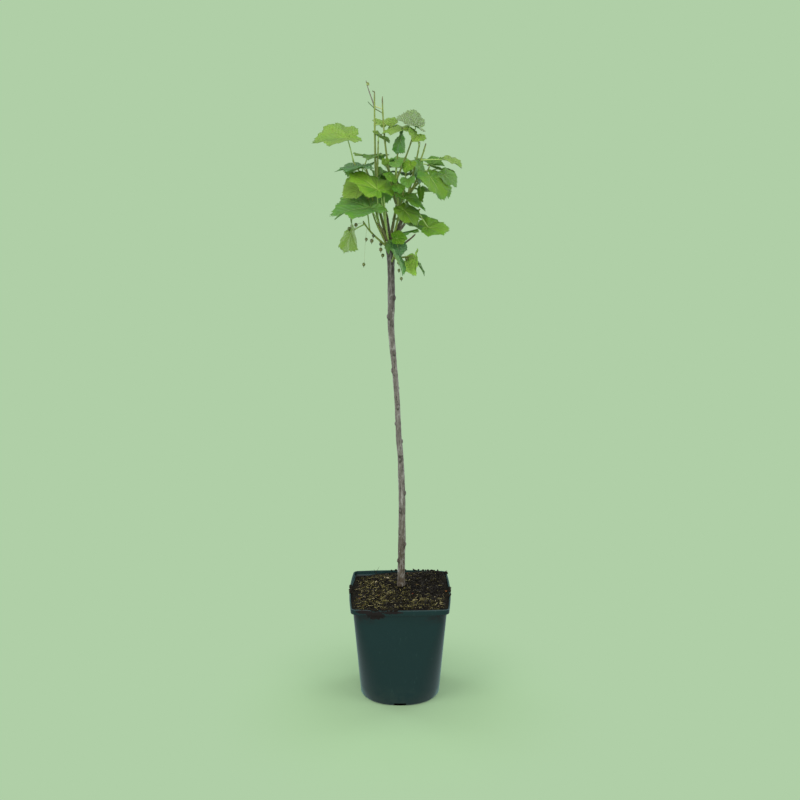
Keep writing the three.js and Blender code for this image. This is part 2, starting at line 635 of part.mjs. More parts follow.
// A hanging string of fruit.
function strigSolid(strig, curve) {
  const start = curve.getPoint(strig.at);
  const a = radians(strig.azimuth);
  const out = new THREE.Vector3(Math.cos(a), Math.sin(a), 0);
  const hang = (reach, drop) => start.clone().addScaledVector(out, reach).add(new THREE.Vector3(0, 0, -drop));
  const end = hang(strig.reach, strig.drop);
  const bend = hang(strig.reach * STRIG.bend[0], strig.drop * STRIG.bend[1]);
  const string = new THREE.QuadraticBezierCurve3(start, bend, end);
  let solid = solidOf(limb(string, STRIG.steps, STRIG.sides, () => STRIG.thick, false));
  for (let i = 0; i < strig.berries; i++) {
    const share = mix(STRIG.from, 1, strig.berries > 1 ? i / (strig.berries - 1) : 1);
    const side = i % 2 ? -STRIG.out : STRIG.out;
    const berry = new THREE.IcosahedronGeometry(STRIG.berry, 0);
    const place = string.getPoint(share).add(new THREE.Vector3(-out.y * side, out.x * side, -STRIG.hang));
    solid = solid.add(solidOf(berry.translate(place.x, place.y, place.z)));
  }
  return solid;
}

function makeMass(mass, starts, limbs, margins) {
  const dice = new Dice(mass.seed);
  const foot = starts[mass.on].clone();
  const curves = [];
  let solid = null;
  const join = (piece) => {
    solid = solid ? solid.add(piece) : piece;
  };
  for (const cane of mass.canes) {
    const main = curves.length === 0;
    const start = main ? foot : curves[0].getPoint(cane.root);
    const curve = shoot(start, vector(cane.tip), main ? vector(mass.push) : new THREE.Vector3());
    curves.push(curve);
    const girth = main ? BOUGH_TIP : CANE.foot;
    join(solidOf(limb(curve, CANE.steps, CANE.sides, (share) => mix(girth, CANE.tip, share), main)));
    for (const leaf of leavesOf(cane, curve, dice)) {
      if (!keepsClear(leaf, limbs)) continue;
      join(stalkSolid(leaf));
      join(bladeSolid(leaf));
    }
  }
  for (const strig of mass.strigs ?? []) join(strigSolid(strig, curves[strig.cane]));
  for (const margin of margins) solid = solid.subtract(margin);
  return geometryOf(wholeOf(solid));
}

function addMesh(group, name, geometry, color, roughness) {
  const material = new THREE.MeshStandardMaterial({ color, roughness, metalness: 0 });
  const mesh = new THREE.Mesh(geometry, material);
  mesh.name = name;
  group.add(mesh);
}

const standard = new THREE.Group();
addMesh(standard, "pot", makePot(), POT_GREEN, 0.42);
addMesh(standard, "soil", makeSoil(), SOIL_BROWN, 0.95);
addMesh(standard, "trunk", makeTrunk(), BARK_GREY, 0.85);

const crown = new THREE.Group();
const starts = {};
for (const [name, place] of Object.entries(TRUNK_STARTS)) starts[name] = vector(place);
const limbs = [];
const margins = [trunkSolid(CLEAR)];
for (let z = LIMB_SAMPLES.from; z < HEAD.z; z += LIMB_SAMPLES.step) {
  limbs.push({ point: new THREE.Vector3(trunkAt(z, "lean"), 0, z), radius: trunkAt(z, "radius") });
}
for (const bough of BOUGHS) {
  const curve = boughCurve(bough);
  const girth = (share) => mix(BOUGH_FOOT, BOUGH_TIP, share);
  addMesh(crown, bough.name, limb(curve, BOUGH_STEPS, BOUGH_SIDES, girth, true), BARK_DARK, 0.85);
  const margin = solidOf(limb(curve, BOUGH_STEPS, BOUGH_SIDES, (share) => girth(share) + CLEAR, true));
  margins.push(margin, margin.translate([0, 0, CLEAR]));
  for (let i = 0; i <= LIMB_SAMPLES.perBough; i++) {
    const share = i / LIMB_SAMPLES.perBough;
    limbs.push({ point: curve.getPoint(share), radius: girth(share) });
  }
  starts[bough.name] = vector(bough.tip).add(new THREE.Vector3(0, 0, CLEAR));
}
for (const mass of MASSES) addMesh(crown, mass.name, makeMass(mass, starts, limbs, margins), mass.green, 0.55);
standard.add(crown);

export default standard;
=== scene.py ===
"""Dresses a young blackcurrant standard: nursery pot, compost, bark, canes, leaves and fruit.

Sizes are in millimetres in the object's own frame, +Z up, and become metres where a mesh is built.
"""

import logging
import math
from collections.abc import Callable, Sequence
from dataclasses import dataclass
from enum import Enum

import bmesh
import bpy
import numpy as np
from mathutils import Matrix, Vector, noise

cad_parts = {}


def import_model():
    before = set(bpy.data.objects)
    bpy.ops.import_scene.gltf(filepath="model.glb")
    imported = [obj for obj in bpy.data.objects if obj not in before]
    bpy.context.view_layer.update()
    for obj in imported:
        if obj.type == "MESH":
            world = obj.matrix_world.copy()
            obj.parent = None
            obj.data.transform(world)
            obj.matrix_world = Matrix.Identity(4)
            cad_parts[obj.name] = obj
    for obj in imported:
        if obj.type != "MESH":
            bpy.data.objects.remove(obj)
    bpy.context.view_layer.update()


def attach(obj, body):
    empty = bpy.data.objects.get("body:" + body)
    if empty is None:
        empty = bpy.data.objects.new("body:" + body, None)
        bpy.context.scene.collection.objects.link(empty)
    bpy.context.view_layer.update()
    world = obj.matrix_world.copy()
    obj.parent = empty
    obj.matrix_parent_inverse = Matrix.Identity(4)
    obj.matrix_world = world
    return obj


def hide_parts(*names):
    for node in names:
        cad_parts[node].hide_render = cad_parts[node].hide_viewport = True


LOG = logging.getLogger("blackcurrant_standard")
MM = 0.001  # a millimetre in metres
CLEAR = 0.3  # the gap that stays between neighbouring solids

Piece = bpy.types.Object
Material = bpy.types.Material
Socket = bpy.types.NodeSocket
Radius = Callable[[float], float]
Ring = list[Vector]
Pair = tuple[float, float]
Run = float | Pair
Triple = tuple[float, float, float]
Quad = tuple[float, float, float, float]
Colour = Quad
Marks = np.ndarray | Triple
Faces = list[tuple[int, ...]]
Corners = dict[str, list[Pair]]
Sockets = dict[str | int, object]


class Green(Enum):
    """Plain base colours of leaves, dealt out by spray, with how much painted bluish sheen each wears on its
    quilt's ridges.
    """

    FRESH = ("#568c1a", 0.1)
    LIGHT = ("#64882c", 0.2)
    PALE = ("#789c3c", 0.3)
    # brightened beyond the leaf's own green as painted light, offsetting the shade that a neighbouring leaf
    # casts on it
    LEMON = ("#a2cf58", 0.0)
    SPRING = ("#64991e", 0.1)
    BRIGHT = ("#568710", 0.0)
    VIVID = ("#3f7207", 0.0)
    MID = ("#4f842c", 0.45)
    BLUE = ("#467a40", 0.9)
    DEEP = ("#458813", 0.15)
    DARK = ("#38701a", 0.4)
    HAZY = ("#57904a", 0.9)
    GREY = ("#708656", 0.9)
    OLIVE = ("#5d7c2a", 0.2)
    BRACT = ("#b0a47a", 0.0)

    @property
    def code(self) -> str:
        """The colour's code."""
        return self.value[0]

    @property
    def ridge_sheen(self) -> float:
        """How much painted bluish sheen lies on the quilt's ridges, from none to all over."""
        return self.value[1]


class Slot(Enum):
    """The names of the record's finishes, by which the leaves are gathered into pieces."""

    POT = "pot_plastic"
    COMPOST = "compost"
    BARK = "bark_grey"
    BOUGH = "bark_dark"
    FRESH = "leaf_fresh"
    LIGHT = "leaf_light"
    MID = "leaf_mid"
    BLUE = "leaf_blue_green"
    DEEP = "leaf_deep"


def linear(code: str) -> Colour:
    """Turns a colour code into the light values that a shader reads.

    Args:
        code: Red, green and blue as six hexadecimal digits after a hash.

    Returns:
        The linear red, green, blue and a full alpha.
    """
    parts = [int(code[i : i + 2], 16) / 255 for i in (1, 3, 5)]
    light = [p / 12.92 if p <= 0.04045 else ((p + 0.055) / 1.055) ** 2.4 for p in parts]
    return (light[0], light[1], light[2], 1.0)


def mix(low: float, high: float, share: float) -> float:
    """Gives the number a share of the way from low to high."""
    return low + (high - low) * share


def eased(share: float) -> float:
    """Gives a share eased at both its ends."""
    share = min(max(share, 0.0), 1.0)
    return share * share * (3 - 2 * share)


def ramp(value: float, low: float, high: float) -> float:
    """Gives 0 where a value is low and 1 where it is high, eased between."""
    return eased((value - low) / (high - low))


def run_at(run: Run, share: float) -> float:
    """Gives a run's number at a share of the way, or the one number that it is."""
    return mix(*run, share) if isinstance(run, tuple) else run


def bark_noise(place: Vector, across: float, along: float) -> float:
    """Gives smooth noise at a place, by its scale across and along the height."""
    return noise.noise(Vector((place.x * across, place.y * across, place.z * along)))


def spokes(count: int) -> list[float]:
    """Gives a number of even directions all round, in radians."""
    return [2 * math.pi * k / count for k in range(count)]


def polar(angle: float, reach: float, z: float = 0.0) -> Vector:
    """Gives the place at an angle in radians, a reach and a height."""
    return Vector((reach * math.cos(angle), reach * math.sin(angle), z))


def heading(azimuth: float, rise: float) -> Vector:
    """Gives the direction that points to an azimuth and rises, both in radians."""
    return polar(azimuth, math.cos(rise), math.sin(rise))


@dataclass(frozen=True)
class Taper:
    """A radius that runs evenly from foot to tip, with a collar that fades out above the foot."""

    foot: float
    tip: float
    collar: float = 0.0
    fade: float = 0.1

    def __call__(self, share: float) -> float:
        """Gives the radius at a share of the way."""
        return mix(self.foot, self.tip, share) + self.collar * math.exp(-((share / self.fade) ** 2))


class Dice:
    """A seeded run of numbers, the same each time."""

    FACTOR = 1664525
    STEP = 1013904223
    RANGE = 2**32

    def __init__(self, seed: int) -> None:
        """Starts the run at a seed."""
        self.state = seed

    def spread(self, size: float) -> float:
        """Gives the next number between -size and size."""
        self.state = (self.state * self.FACTOR + self.STEP) % self.RANGE
        return (2 * (self.state / self.RANGE) - 1) * size

    def between(self, low: float, high: float) -> float:
        """Gives the next number between low and high."""
        return mix(low, high, 0.5 + self.spread(0.5))

    def pick(self, row: Sequence[str]) -> str:
        """Picks one of a row of names."""
        return row[int(self.between(0, len(row) - 0.01))]


class Path:
    """A Bezier run through its handles."""

    def __init__(self, *handles: Vector) -> None:
        """Keeps three or four handles."""
        self.handles = handles

    def at(self, share: float) -> Vector:
        """Finds a place on the path.

        Args:
            share: The share of the way from its start.

        Returns:
            The place there.
        """
        row = list(self.handles)
        while len(row) > 1:
            row = [a.lerp(b, share) for a, b in zip(row, row[1:])]
        return row[0]

    def heading(self, share: float) -> Vector:
        """Gives the direction of travel at a share of the way."""
        low = max(share - 0.001, 0.0)
        return (self.at(min(low + 0.002, 1.0)) - self.at(low)).normalized()


def rings_along(path: Path, steps: int, sides: int, radius: Radius, level_foot: bool = False) -> list[Ring]:
    """Works out rings square to a path.

    Args:
        path: The line that the rings follow.
        steps: How many spans the path is cut into.
        sides: How many places each ring has.
        radius: Gives a ring's radius by its share of the way.
        level_foot: Whether the first ring lies level.

    Returns:
        The rings from foot to tip, each counterclockwise seen from the tip.
    """
    rings = []
    across = Vector((1, 0, 0))
    for step in range(steps + 1):
        share = step / steps
        along = Vector((0, 0, 1)) if step == 0 and level_foot else path.heading(share)
        across = (across - along * across.dot(along)).normalized()
        over = along.cross(across)
        centre = path.at(share)
        reach = radius(share)
        rings.append([centre + (across * math.cos(t) + over * math.sin(t)) * reach for t in spokes(sides)])
    return rings


def start_clean() -> None:
    """Leaves edit mode and deselects everything, so that an operator acts on new work alone."""
    if bpy.context.object and bpy.context.object.mode != "OBJECT":
        bpy.ops.object.mode_set(mode="OBJECT")
    bpy.ops.object.select_all(action="DESELECT")


def use_modifier(piece: Piece, kind: str, **settings: object) -> None:
    """Adds a modifier to a piece and applies it.

    Args:
        piece: The object that takes the modifier.
        kind: The modifier's type.
        **settings: The modifier's own settings.
    """
    modifier = piece.modifiers.new(kind.lower(), kind)
    for key, value in settings.items():
        setattr(modifier, key, value)
    bpy.context.view_layer.objects.active = piece
    bpy.ops.object.modifier_apply(modifier=modifier.name)


def raise_rings(name: str, rings: Sequence[Ring]) -> Piece:
    """Draws a closed skin up from a circle, ring by ring.

    Args:
        name: The piece's name.
        rings: The rings from first to last, all with as many places.

    Returns:
        The new object, at the origin.
    """
    start_clean()
    bpy.ops.mesh.primitive_circle_add(vertices=len(rings[0]), radius=1, fill_type="NGON")
    piece = bpy.context.object
    piece.name = name
    piece.data.name = name
    for vertex, place in zip(piece.data.vertices, rings[0]):
        vertex.co = place * MM
    bpy.ops.object.mode_set(mode="EDIT")
    bpy.ops.mesh.select_all(action="SELECT")
    last = np.array([place * MM for place in rings[0]])
    for ring in rings[1:]:
        bpy.ops.mesh.extrude_region_move()
        drawn = bmesh.from_edit_mesh(piece.data)
        goal = [place * MM for place in ring]
        for vertex in (v for v in drawn.verts if v.select):
            nearest = int(np.argmin(((last - np.array(vertex.co)) ** 2).sum(1)))
            vertex.co = goal[nearest]
        last = np.array(goal)
    bpy.ops.mesh.select_all(action="SELECT")
    bpy.ops.mesh.normals_make_consistent(inside=False)
    bpy.ops.object.mode_set(mode="OBJECT")
    return piece


def smooth(piece: Piece, angle: float = 180.0) -> None:
    """Shades a piece smooth.

    Args:
        piece: The object.
        angle: The bend in degrees from which an edge stays hard.
    """
    start_clean()
    piece.select_set(True)
    bpy.context.view_layer.objects.active = piece
    bpy.ops.object.shade_smooth_by_angle(angle=math.radians(angle))


def reshape(piece: Piece, move: Callable[[Vector, Vector], Vector]) -> None:
    """Moves each place of a piece.

    Args:
        piece: The object that is reshaped.
        move: Gives the new place by the old place and the normal there, in millimetres.
    """
    normals = [vertex.normal.copy() for vertex in piece.data.vertices]
    for vertex, normal in zip(piece.data.vertices, normals):
        vertex.co = move(vertex.co / MM, normal) * MM
    piece.data.update()


class Heap:
    """Many small shapes gathered into one mesh, each with its colour and marks."""

    def __init__(self) -> None:
        """Starts with nothing in it."""
        self.places: list[np.ndarray] = []
        self.faces: Faces = []
        self.tints: list[np.ndarray] = []
        self.marks: list[np.ndarray] = []
        self.corners: Corners = {}
        self.count = 0

    def add(
        self, places: np.ndarray, faces: Faces, tint: Colour, marks: Marks, corners: Corners | None = None
    ) -> None:
        """Adds one shape.

        Args:
            places: Its places in millimetres, one a row.
            faces: Its faces as indices into its places.
            tint: Its plain base colour.
            marks: Three numbers for each place, or for all of them.
            corners: Named pairs of numbers for each corner of each face.
        """
        start = self.count
        self.places.append(places)
        self.faces.extend([tuple(i + start for i in face) for face in faces])
        self.tints.append(np.tile(np.array(tint), (len(places), 1)))
        self.marks.append(np.broadcast_to(np.array(marks, float), (len(places), 3)))
        for key, pairs in (corners or {}).items():
            self.corners.setdefault(key, []).extend(pairs)
        self.count += len(places)

    def add_rings(self, rings: Sequence[Ring], tint: Colour, marks: Marks = (0, 0, 0)) -> None:
        """Adds a closed skin over rings of places.

        Args:
            rings: The rings from first to last, all with as many places.
            tint: Its plain base colour.
            marks: Three numbers for each place, or for all of them.
        """
        sides = len(rings[0])
        places = np.array([p for ring in rings for p in ring])
        faces: Faces = [tuple(reversed(range(sides)))]
        for r in range(len(rings) - 1):
            for i in range(sides):
                a = r * sides + i
                b = r * sides + (i + 1) % sides
                faces.append((a, b, b + sides, a + sides))
        faces.append(tuple(range((len(rings) - 1) * sides, len(rings) * sides)))
        self.add(places, faces, tint, marks)

    def add_shoot(
        self, path: Path, steps: int, sides: int, radius: Radius, tint: str, mark: float = 0.0
    ) -> None:
        """Adds a closed skin along a path.

        Args:
            path: The line that it follows.
            steps: How many spans it has.
            sides: How many places each of its rings has.
            radius: Gives its radius by the share of the way.
            tint: Its plain base colour's code.
            mark: The first of its three marks.
        """
        self.add_rings(rings_along(path, steps, sides, radius), linear(tint), (mark, 0, 0))

    def build(self, name: str) -> Piece:
        """Makes the object of all that was added.

        Args:
            name: The piece's name.

        Returns:
            The new object, at the origin, with its colours in "tint" and its marks in "marks".
        """
        mesh = bpy.data.meshes.new(name)
        mesh.from_pydata((np.concatenate(self.places) * MM).tolist(), [], self.faces)
        tint = mesh.color_attributes.new("tint", "FLOAT_COLOR", "POINT")
        tint.data.foreach_set("color", np.concatenate(self.tints).astype(np.float32).ravel())
        marks = mesh.attributes.new("marks", "FLOAT_VECTOR", "POINT")
        marks.data.foreach_set("vector", np.concatenate(self.marks).astype(np.float32).ravel())
        for key, pairs in self.corners.items():
            layer = mesh.uv_layers.new(name=key)
            layer.data.foreach_set("uv", np.array(pairs, np.float32).ravel())
        mesh.validate()
        mesh.polygons.foreach_set("use_smooth", [True] * len(mesh.polygons))
        piece = bpy.data.objects.new(name, mesh)
        bpy.context.scene.collection.objects.link(piece)
        return piece


def operator(operation: str, flipped: bool = False) -> Callable[["Value", "Value | float"], "Value"]:
    """Makes a method that adds a Math node on two terms.

    Args:
        operation: The node's operation.
        flipped: Whether the method's own value is the second term.

    Returns:
        The method.
    """

    def act(value: "Value", other: "Value | float") -> "Value":
        """Gives the node's result."""
        return value.surface.math(operation, *((other, value) if flipped else (value, other)))

    return act


class Value:
    """A number that a material works out at each place on a surface."""

    def __init__(self, surface: "Surface", socket: Socket) -> None:
        """Wraps an output socket of a material's nodes."""
        self.surface = surface
        self.socket = socket

    __add__ = __radd__ = operator("ADD")
    __mul__ = __rmul__ = operator("MULTIPLY")
    __sub__ = operator("SUBTRACT")
    __rsub__ = operator("SUBTRACT", flipped=True)
    __truediv__ = operator("DIVIDE")

    def math(self, operation: str, *others: "Value | float") -> "Value":
        """Gives the result of a Math node on this value and others."""
        return self.surface.math(operation, self, *others)

    def step(self, low: float, high: float) -> "Value":
        """Rises smoothly from 0 at low to 1 at high, or falls where high is the lesser."""
        settings = {"interpolation_type": "SMOOTHSTEP"}
        limits = {"Value": self, "From Min": low, "From Max": high}
        return self.surface.value("ShaderNodeMapRange", "Result", settings, limits)


class Surface:
    """A material under way: its nodes, and the calls that add them."""

    def __init__(self, name: str) -> None:
        """Starts an empty material."""
        self.material = bpy.data.materials.new(name)
        self.material.use_nodes = True
        self.tree = self.material.node_tree
        self.tree.nodes.clear()

    def node(
        self, kind: str, settings: Sockets | None = None, inputs: Sockets | None = None
    ) -> bpy.types.Node:
        """Adds a node.

        Args:
            kind: The node's type.
            settings: Its settings, which are set first.
            inputs: What its sockets take: a Value, a socket, a number or a colour.

        Returns:
            The new node.
        """
        made = self.tree.nodes.new(kind)
        for key, value in (settings or {}).items():
            setattr(made, key, value)
        for key, value in (inputs or {}).items():
            if isinstance(value, Value):
                value = value.socket
            if isinstance(value, Socket):
                self.tree.links.new(value, made.inputs[key])
            else:
                made.inputs[key].default_value = value
        return made

    def value(self, kind: str, output: str | int, settings: Sockets, inputs: Sockets) -> Value:
        """Adds a node and gives one of its outputs as a number, by the output's name or index."""
        return Value(self, self.node(kind, settings, inputs).outputs[output])

    def math(self, operation: str, *terms: Value | float) -> Value:
        """Adds a Math node on its terms."""
        return self.value("ShaderNodeMath", 0, {"operation": operation}, dict(enumerate(terms)))

    def here(self, upright: float = 1.0) -> Socket:
        """Gives the place on the object in metres, its height scaled for a pattern drawn out upwards."""
        inputs = {"Vector": self.node("ShaderNodeTexCoord").outputs["Object"], "Scale": (1, 1, upright)}
        return self.node("ShaderNodeMapping", None, inputs).outputs["Vector"]

    def split(self, vector: Socket) -> list[Value]:
        """Takes a vector apart into its three numbers."""
        made = self.node("ShaderNodeSeparateXYZ", None, {"Vector": vector})
        return [Value(self, socket) for socket in made.outputs]

    def noise(self, place: Socket, scale: float, detail: float = 3, rough: float = 0.55) -> Value:
        """Adds cloudy noise between 0 and 1, by how many clouds there are to a metre."""
        inputs = {"Vector": place, "Scale": scale, "Detail": detail, "Roughness": rough}
        return self.value("ShaderNodeTexNoise", 0, {}, inputs)

    def cells(self, place: Socket, scale: float, edges: bool = False) -> Value:
        """Adds the distance to the nearest of scattered points, or to the nearest border between them."""
        settings = {"feature": "DISTANCE_TO_EDGE" if edges else "F1"}
        return self.value("ShaderNodeTexVoronoi", "Distance", settings, {"Vector": place, "Scale": scale})

    def paint(self, ground: object, *coats: tuple[Value | float, object]) -> object:
        """Lays coats of colour over a ground. Each colour is a colour code, light values or a socket.

        Args:
            ground: The colour beneath.
            *coats: How much of each coat shows, and its colour, from the lowest to the top one.

        Returns:
            The painted colour's socket.
        """
        for share, coat in coats:
            under, over = (linear(c) if isinstance(c, str) else c for c in (ground, coat))
            settings = {"data_type": "RGBA", "clamp_factor": True}
            ground = self.node("ShaderNodeMix", settings, {0: share, 6: under, 7: over}).outputs[2]
        return ground

    def attribute(self, name: str, output: str = "Vector") -> Socket:
        """Gives a named attribute of the mesh."""
        return self.node("ShaderNodeAttribute", {"attribute_name": name}).outputs[output]

    def bump(self, height: Value, distance: float, strength: float = 1.0) -> Socket:
        """Turns a height between 0 and 1 into a relief of a distance in metres."""
        inputs = {"Height": height, "Distance": distance, "Strength": strength}
        return self.node("ShaderNodeBump", None, inputs).outputs["Normal"]

    def finish(self, **inputs: object) -> Material:
        """Closes the material with a Principled shader.

        Args:
            **inputs: Its sockets by name, with underscores for spaces.

        Returns:
            The finished material.
        """
        named = {key.replace("_", " "): value for key, value in inputs.items()}
        shader = self.node("ShaderNodeBsdfPrincipled", None, named)
        self.node("ShaderNodeOutputMaterial", None, {"Surface": shader.outputs[0]})
        return self.material


@dataclass(frozen=True)
class PotPlastic:
    """Dark green moulded plastic: satin, scuffed and dusty, with compost smeared on the lip."""

    green: str = "#072927"
    cool: str = "#0a2c2c"
    worn: str = "#5b7a74"
    dust: str = "#66735f"
    soil: str = "#140d09"
    smears: tuple[Quad, ...] = (
        (-0.0425, 0.1855, 0.0175, 0.0095), (-0.062, 0.1925, 0.016, 0.0035), (-0.016, 0.1925, 0.02, 0.003),
    )
    sheen: str = "#8ccfc4"
    front: Pair = (-0.07, -0.08)
    inside: Pair = (0.0852, 0.0838)
    below_rim: Pair = (0.1935, 0.1915)
    soil_line: Pair = (0.16, 0.186)

    def smear(self, s: Surface, place: Sequence[Value]) -> Value:
        """Works out how much compost is smeared on the front of the lip.

        Args:
            s: The material under way.
            place: The place's distances to the right and the back, and its height.

        Returns:
            The share of compost at each place.
        """
        x, y, z = place
        ragged = s.noise(s.here(), 190, 6, 0.8) * 4.4 - 2.2
        total = None
        for middle, height, wide, tall in self.smears:
            across = (x - middle) / wide
            up = (z - height) / tall
            blot = (across * across + up * up + ragged).step(1.2, 0.8)
            total = blot if total is None else total.math("MAXIMUM", blot)
        return total * y.step(*self.front)

    def make(self) -> Material:
        """Builds the material.

        Returns:
            The material.
        """
        s = Surface("pot_plastic")
        here = s.here()
        x, y, z = s.split(here)
        cloud = s.noise(here, 14, 4)
        fine = s.noise(here, 900, 2)
        scuffs = s.noise(s.here(0.18), 260, 3, 0.7).step(0.62, 0.78)
        low = z.step(0.05, 0.0) * s.noise(here, 60, 4).step(0.35, 0.75)
        specks = s.cells(here, 240).step(0.10, 0.05) * cloud.step(0.5, 0.7)
        smear = self.smear(s, (x, y, z))
        far = y.math("ABSOLUTE").math("MAXIMUM", x.math("ABSOLUTE"))
        within = z.step(*self.below_rim) * far.step(*self.inside)
        grime = within * z.step(*self.soil_line) * s.noise(here, 120, 4).step(0.35, 0.55)
        colour = s.paint(
            self.green,
            (cloud, self.cool),
            (scuffs * 0.14, self.worn),
            (low * 0.12, self.dust),
            (specks * 0.4, self.dust),
            (smear.math("MAXIMUM", grime * 0.7), self.soil),
        )
        rough = 0.36 + cloud * 0.1 + scuffs * 0.16 + low * 0.2 + smear * 0.4
        relief = s.bump(fine * 0.4 + s.noise(here, 55, 3) * 0.6 + smear * 2, 0.0003, 0.5)
        sheen = {"Sheen_Weight": 0.42, "Sheen_Roughness": 0.26, "Sheen_Tint": linear(self.sheen)}
        return s.finish(Base_Color=colour, Roughness=rough, Normal=relief, Specular_IOR_Level=0.3, **sheen)


@dataclass(frozen=True)
class Compost:
    """Dark, damp peat and bark fines, olive where moss has taken."""

    black: str = "#0c0a07"
    brown: str = "#1c180f"
    olive: str = "#3f3c18"
    pale: str = "#8a8062"

    def make(self) -> Material:
        """Builds the material.

        Returns:
            The material.
        """
        s = Surface("compost")
        here = s.here()
        clods = s.noise(here, 160, 6, 0.75)
        crumbs = s.cells(here, 420)
        moss = s.noise(here, 38, 4, 0.6).step(0.45, 0.7) * s.noise(here, 420, 3, 0.7).step(0.4, 0.62)
        chips = s.cells(here, 210).step(0.16, 0.1) * s.noise(here, 90, 2).step(0.55, 0.65)
        colour = s.paint(
            self.black,
            (clods.step(0.35, 0.65), self.brown),
            (moss * 0.7, self.olive),
            (chips * 0.35, self.pale),
            (crumbs.step(0.25, 0.6) * 0.6, self.black),
        )
        relief = s.bump(clods * 0.6 + crumbs * 0.4, 0.0022, 0.9)
        rough = 0.88 + clods * 0.1
        return s.finish(Base_Color=colour, Roughness=rough, Normal=relief, Specular_IOR_Level=0.1)


@dataclass(frozen=True)
class Litter:
    """Fibres, chips and grains on the compost, each in its own plain colour."""

    dark: str = "#120d09"

    def make(self) -> Material:
        """Builds the material.

        Returns:
            The material.
        """
        s = Surface("litter")
        grain = s.noise(s.here(), 900, 3, 0.7)
        colour = s.paint(s.attribute("tint", "Color"), (grain.step(0.35, 0.7) * 0.45, self.dark))
        relief = s.bump(grain, 0.0003, 0.6)
        rough = 0.8 + grain * 0.15
        return s.finish(Base_Color=colour, Roughness=rough, Normal=relief, Specular_IOR_Level=0.12)


@dataclass(frozen=True)
class Bark:
    """Bark that runs from one colour at the foot to another above, with fissures and pores."""

    name: str = "bark_grey"
    foot: str = "#4b4132"
    grey: str = "#6c6660"
    pale: str = "#a8a5a0"
    fissure: str = "#241e19"
    change: Pair = (0.2, 0.46)
    top: str = "#4c4742"
    top_change: Pair = (0.62, 0.78)

    def make(self) -> Material:
        """Builds the material.

        Returns:
            The material.
        """
        s = Surface(self.name)
        here = s.here()
        spots = s.here(0.45)
        z = s.split(here)[2]
        cloud = s.noise(here, 36, 4, 0.6)
        grain = s.noise(s.here(0.16), 520, 5, 0.7)
        streak = s.noise(s.here(0.06), 240, 4, 0.65)
        mottle = s.noise(spots, 150, 4, 0.75)
        rings = s.split(s.attribute("marks"))[0]
        pores = s.cells(spots, 210).step(0.24, 0.12) * s.noise(here, 130, 2).step(0.42, 0.55)
        colour = s.paint(
            self.foot,
            ((z + (cloud - 0.5) * 0.03).step(*self.change), self.grey),
            ((z + (cloud - 0.5) * 0.1).step(*self.top_change), self.top),
            (streak.step(0.48, 0.74) * 0.75, self.pale),
            (cloud.step(0.56, 0.74) * 0.35, self.foot),
            (mottle.step(0.52, 0.66) * 0.5, self.pale),
            (mottle.step(0.46, 0.34) * 0.6, self.fissure),
            (grain.step(0.44, 0.3) * 0.85, self.fissure),
            (pores * 0.75, self.fissure),
            (rings * 0.85, self.fissure),
        )
        relief = s.bump(grain * 0.7 - pores * 0.4 + streak * 0.3, 0.0009, 0.8)
        rough = 0.7 + grain * 0.2
        return s.finish(Base_Color=colour, Roughness=rough, Normal=relief, Specular_IOR_Level=0.3)


@dataclass(frozen=True)
class LeafSkin:
    """A blackcurrant leaf: soft quilted blade, fine sunken veins, paler and duller beneath, with painted
    yellow-green light in patches and a painted highlight and bluish sheen on the quilt's ridges.
    """

    vein: str = "#9dba5c"
    under: str = "#84a065"
    shade: str = "#16300c"
    # yellow-green painted light: patches glowing as if lit through the blade, and a painted highlight on the
    # quilt's ridges
    painted_glow: str = "#86a32a"
    edge: str = "#6f7a35"
    # bluish colour of the painted sheen on the quilt's ridges of the upper face
    ridge_sheen: str = "#a6b9a8"
    side_vein: float = 0.115

    def make(self) -> Material:
        """Builds the material.

        Returns:
            The material.
        """
        s = Surface("leaf_skin")
        here = s.here()
        share, beneath, ridge_sheen = s.split(s.attribute("marks"))
        along, aside, _ = s.split(s.node("ShaderNodeUVMap", {"uv_map": "veins"}).outputs["UV"])
        blade = s.node("ShaderNodeUVMap", {"uv_map": "blade"}).outputs["UV"]
        tint = s.attribute("tint", "Color")
        above = 1 - beneath
        cloud = s.noise(here, 60, 3)
        # where painted light glows through the blade in random patches
        lit_patch = s.noise(here, 24, 2).step(0.62, 0.42)
        wander = s.noise(blade, 4, 2) - 0.5
        ribs = (((along + wander * 0.09) / self.side_vein).math("FRACT") - 0.5).math("ABSOLUTE") * 2
        ridge = ribs.step(0.9, 0.1)
        main = aside.step(0.016, 0.004) * share.step(1.02, 0.55)
        side = ribs.step(0.9, 0.99) * share.step(0.99, 0.7) * share.step(0.05, 0.25)
        mesh = s.cells(blade, 26, edges=True).step(0.09, 0.02)
        colour = s.paint(
            tint,
            (cloud.step(0.35, 0.75) * 0.45, s.paint(tint, (0.4, self.shade))),
            # painted light: yellow-green patches glowing as if lit through the blade
            (lit_patch * (1 - ridge_sheen) * 0.3, self.painted_glow),
            # painted highlight and painted bluish sheen: the raised ridges between side veins on the upper
            # face are lightened
            (ridge * above * 0.04, self.painted_glow),
            (ridge * ridge_sheen * above * cloud.step(0.3, 0.6) * 0.28, self.ridge_sheen),
            (beneath * 0.38, self.under),
            (mesh * 0.08, self.vein),
            (side * (0.05 + beneath * 0.2) + main * 0.3, self.vein),
            (share.step(0.97, 1.0) * 0.25, self.edge),
        )
        sunk = 1 - main * 0.8 - side * 0.5 - mesh * 0.3
        quilt = ribs.step(1.0, 0.1) * (ridge_sheen * 0.5 + 0.08)
        relief = s.bump((sunk + quilt) * (1 - beneath * 2), 0.0011, 0.85)
        return s.finish(
            Base_Color=colour,
            Roughness=0.42 + cloud * 0.16 + beneath * 0.2,
            Normal=relief,
            Specular_IOR_Level=0.25,
            Subsurface_Weight=0.1,
            Subsurface_Radius=(0.5, 1.0, 0.2),
            Subsurface_Scale=0.002,
        )


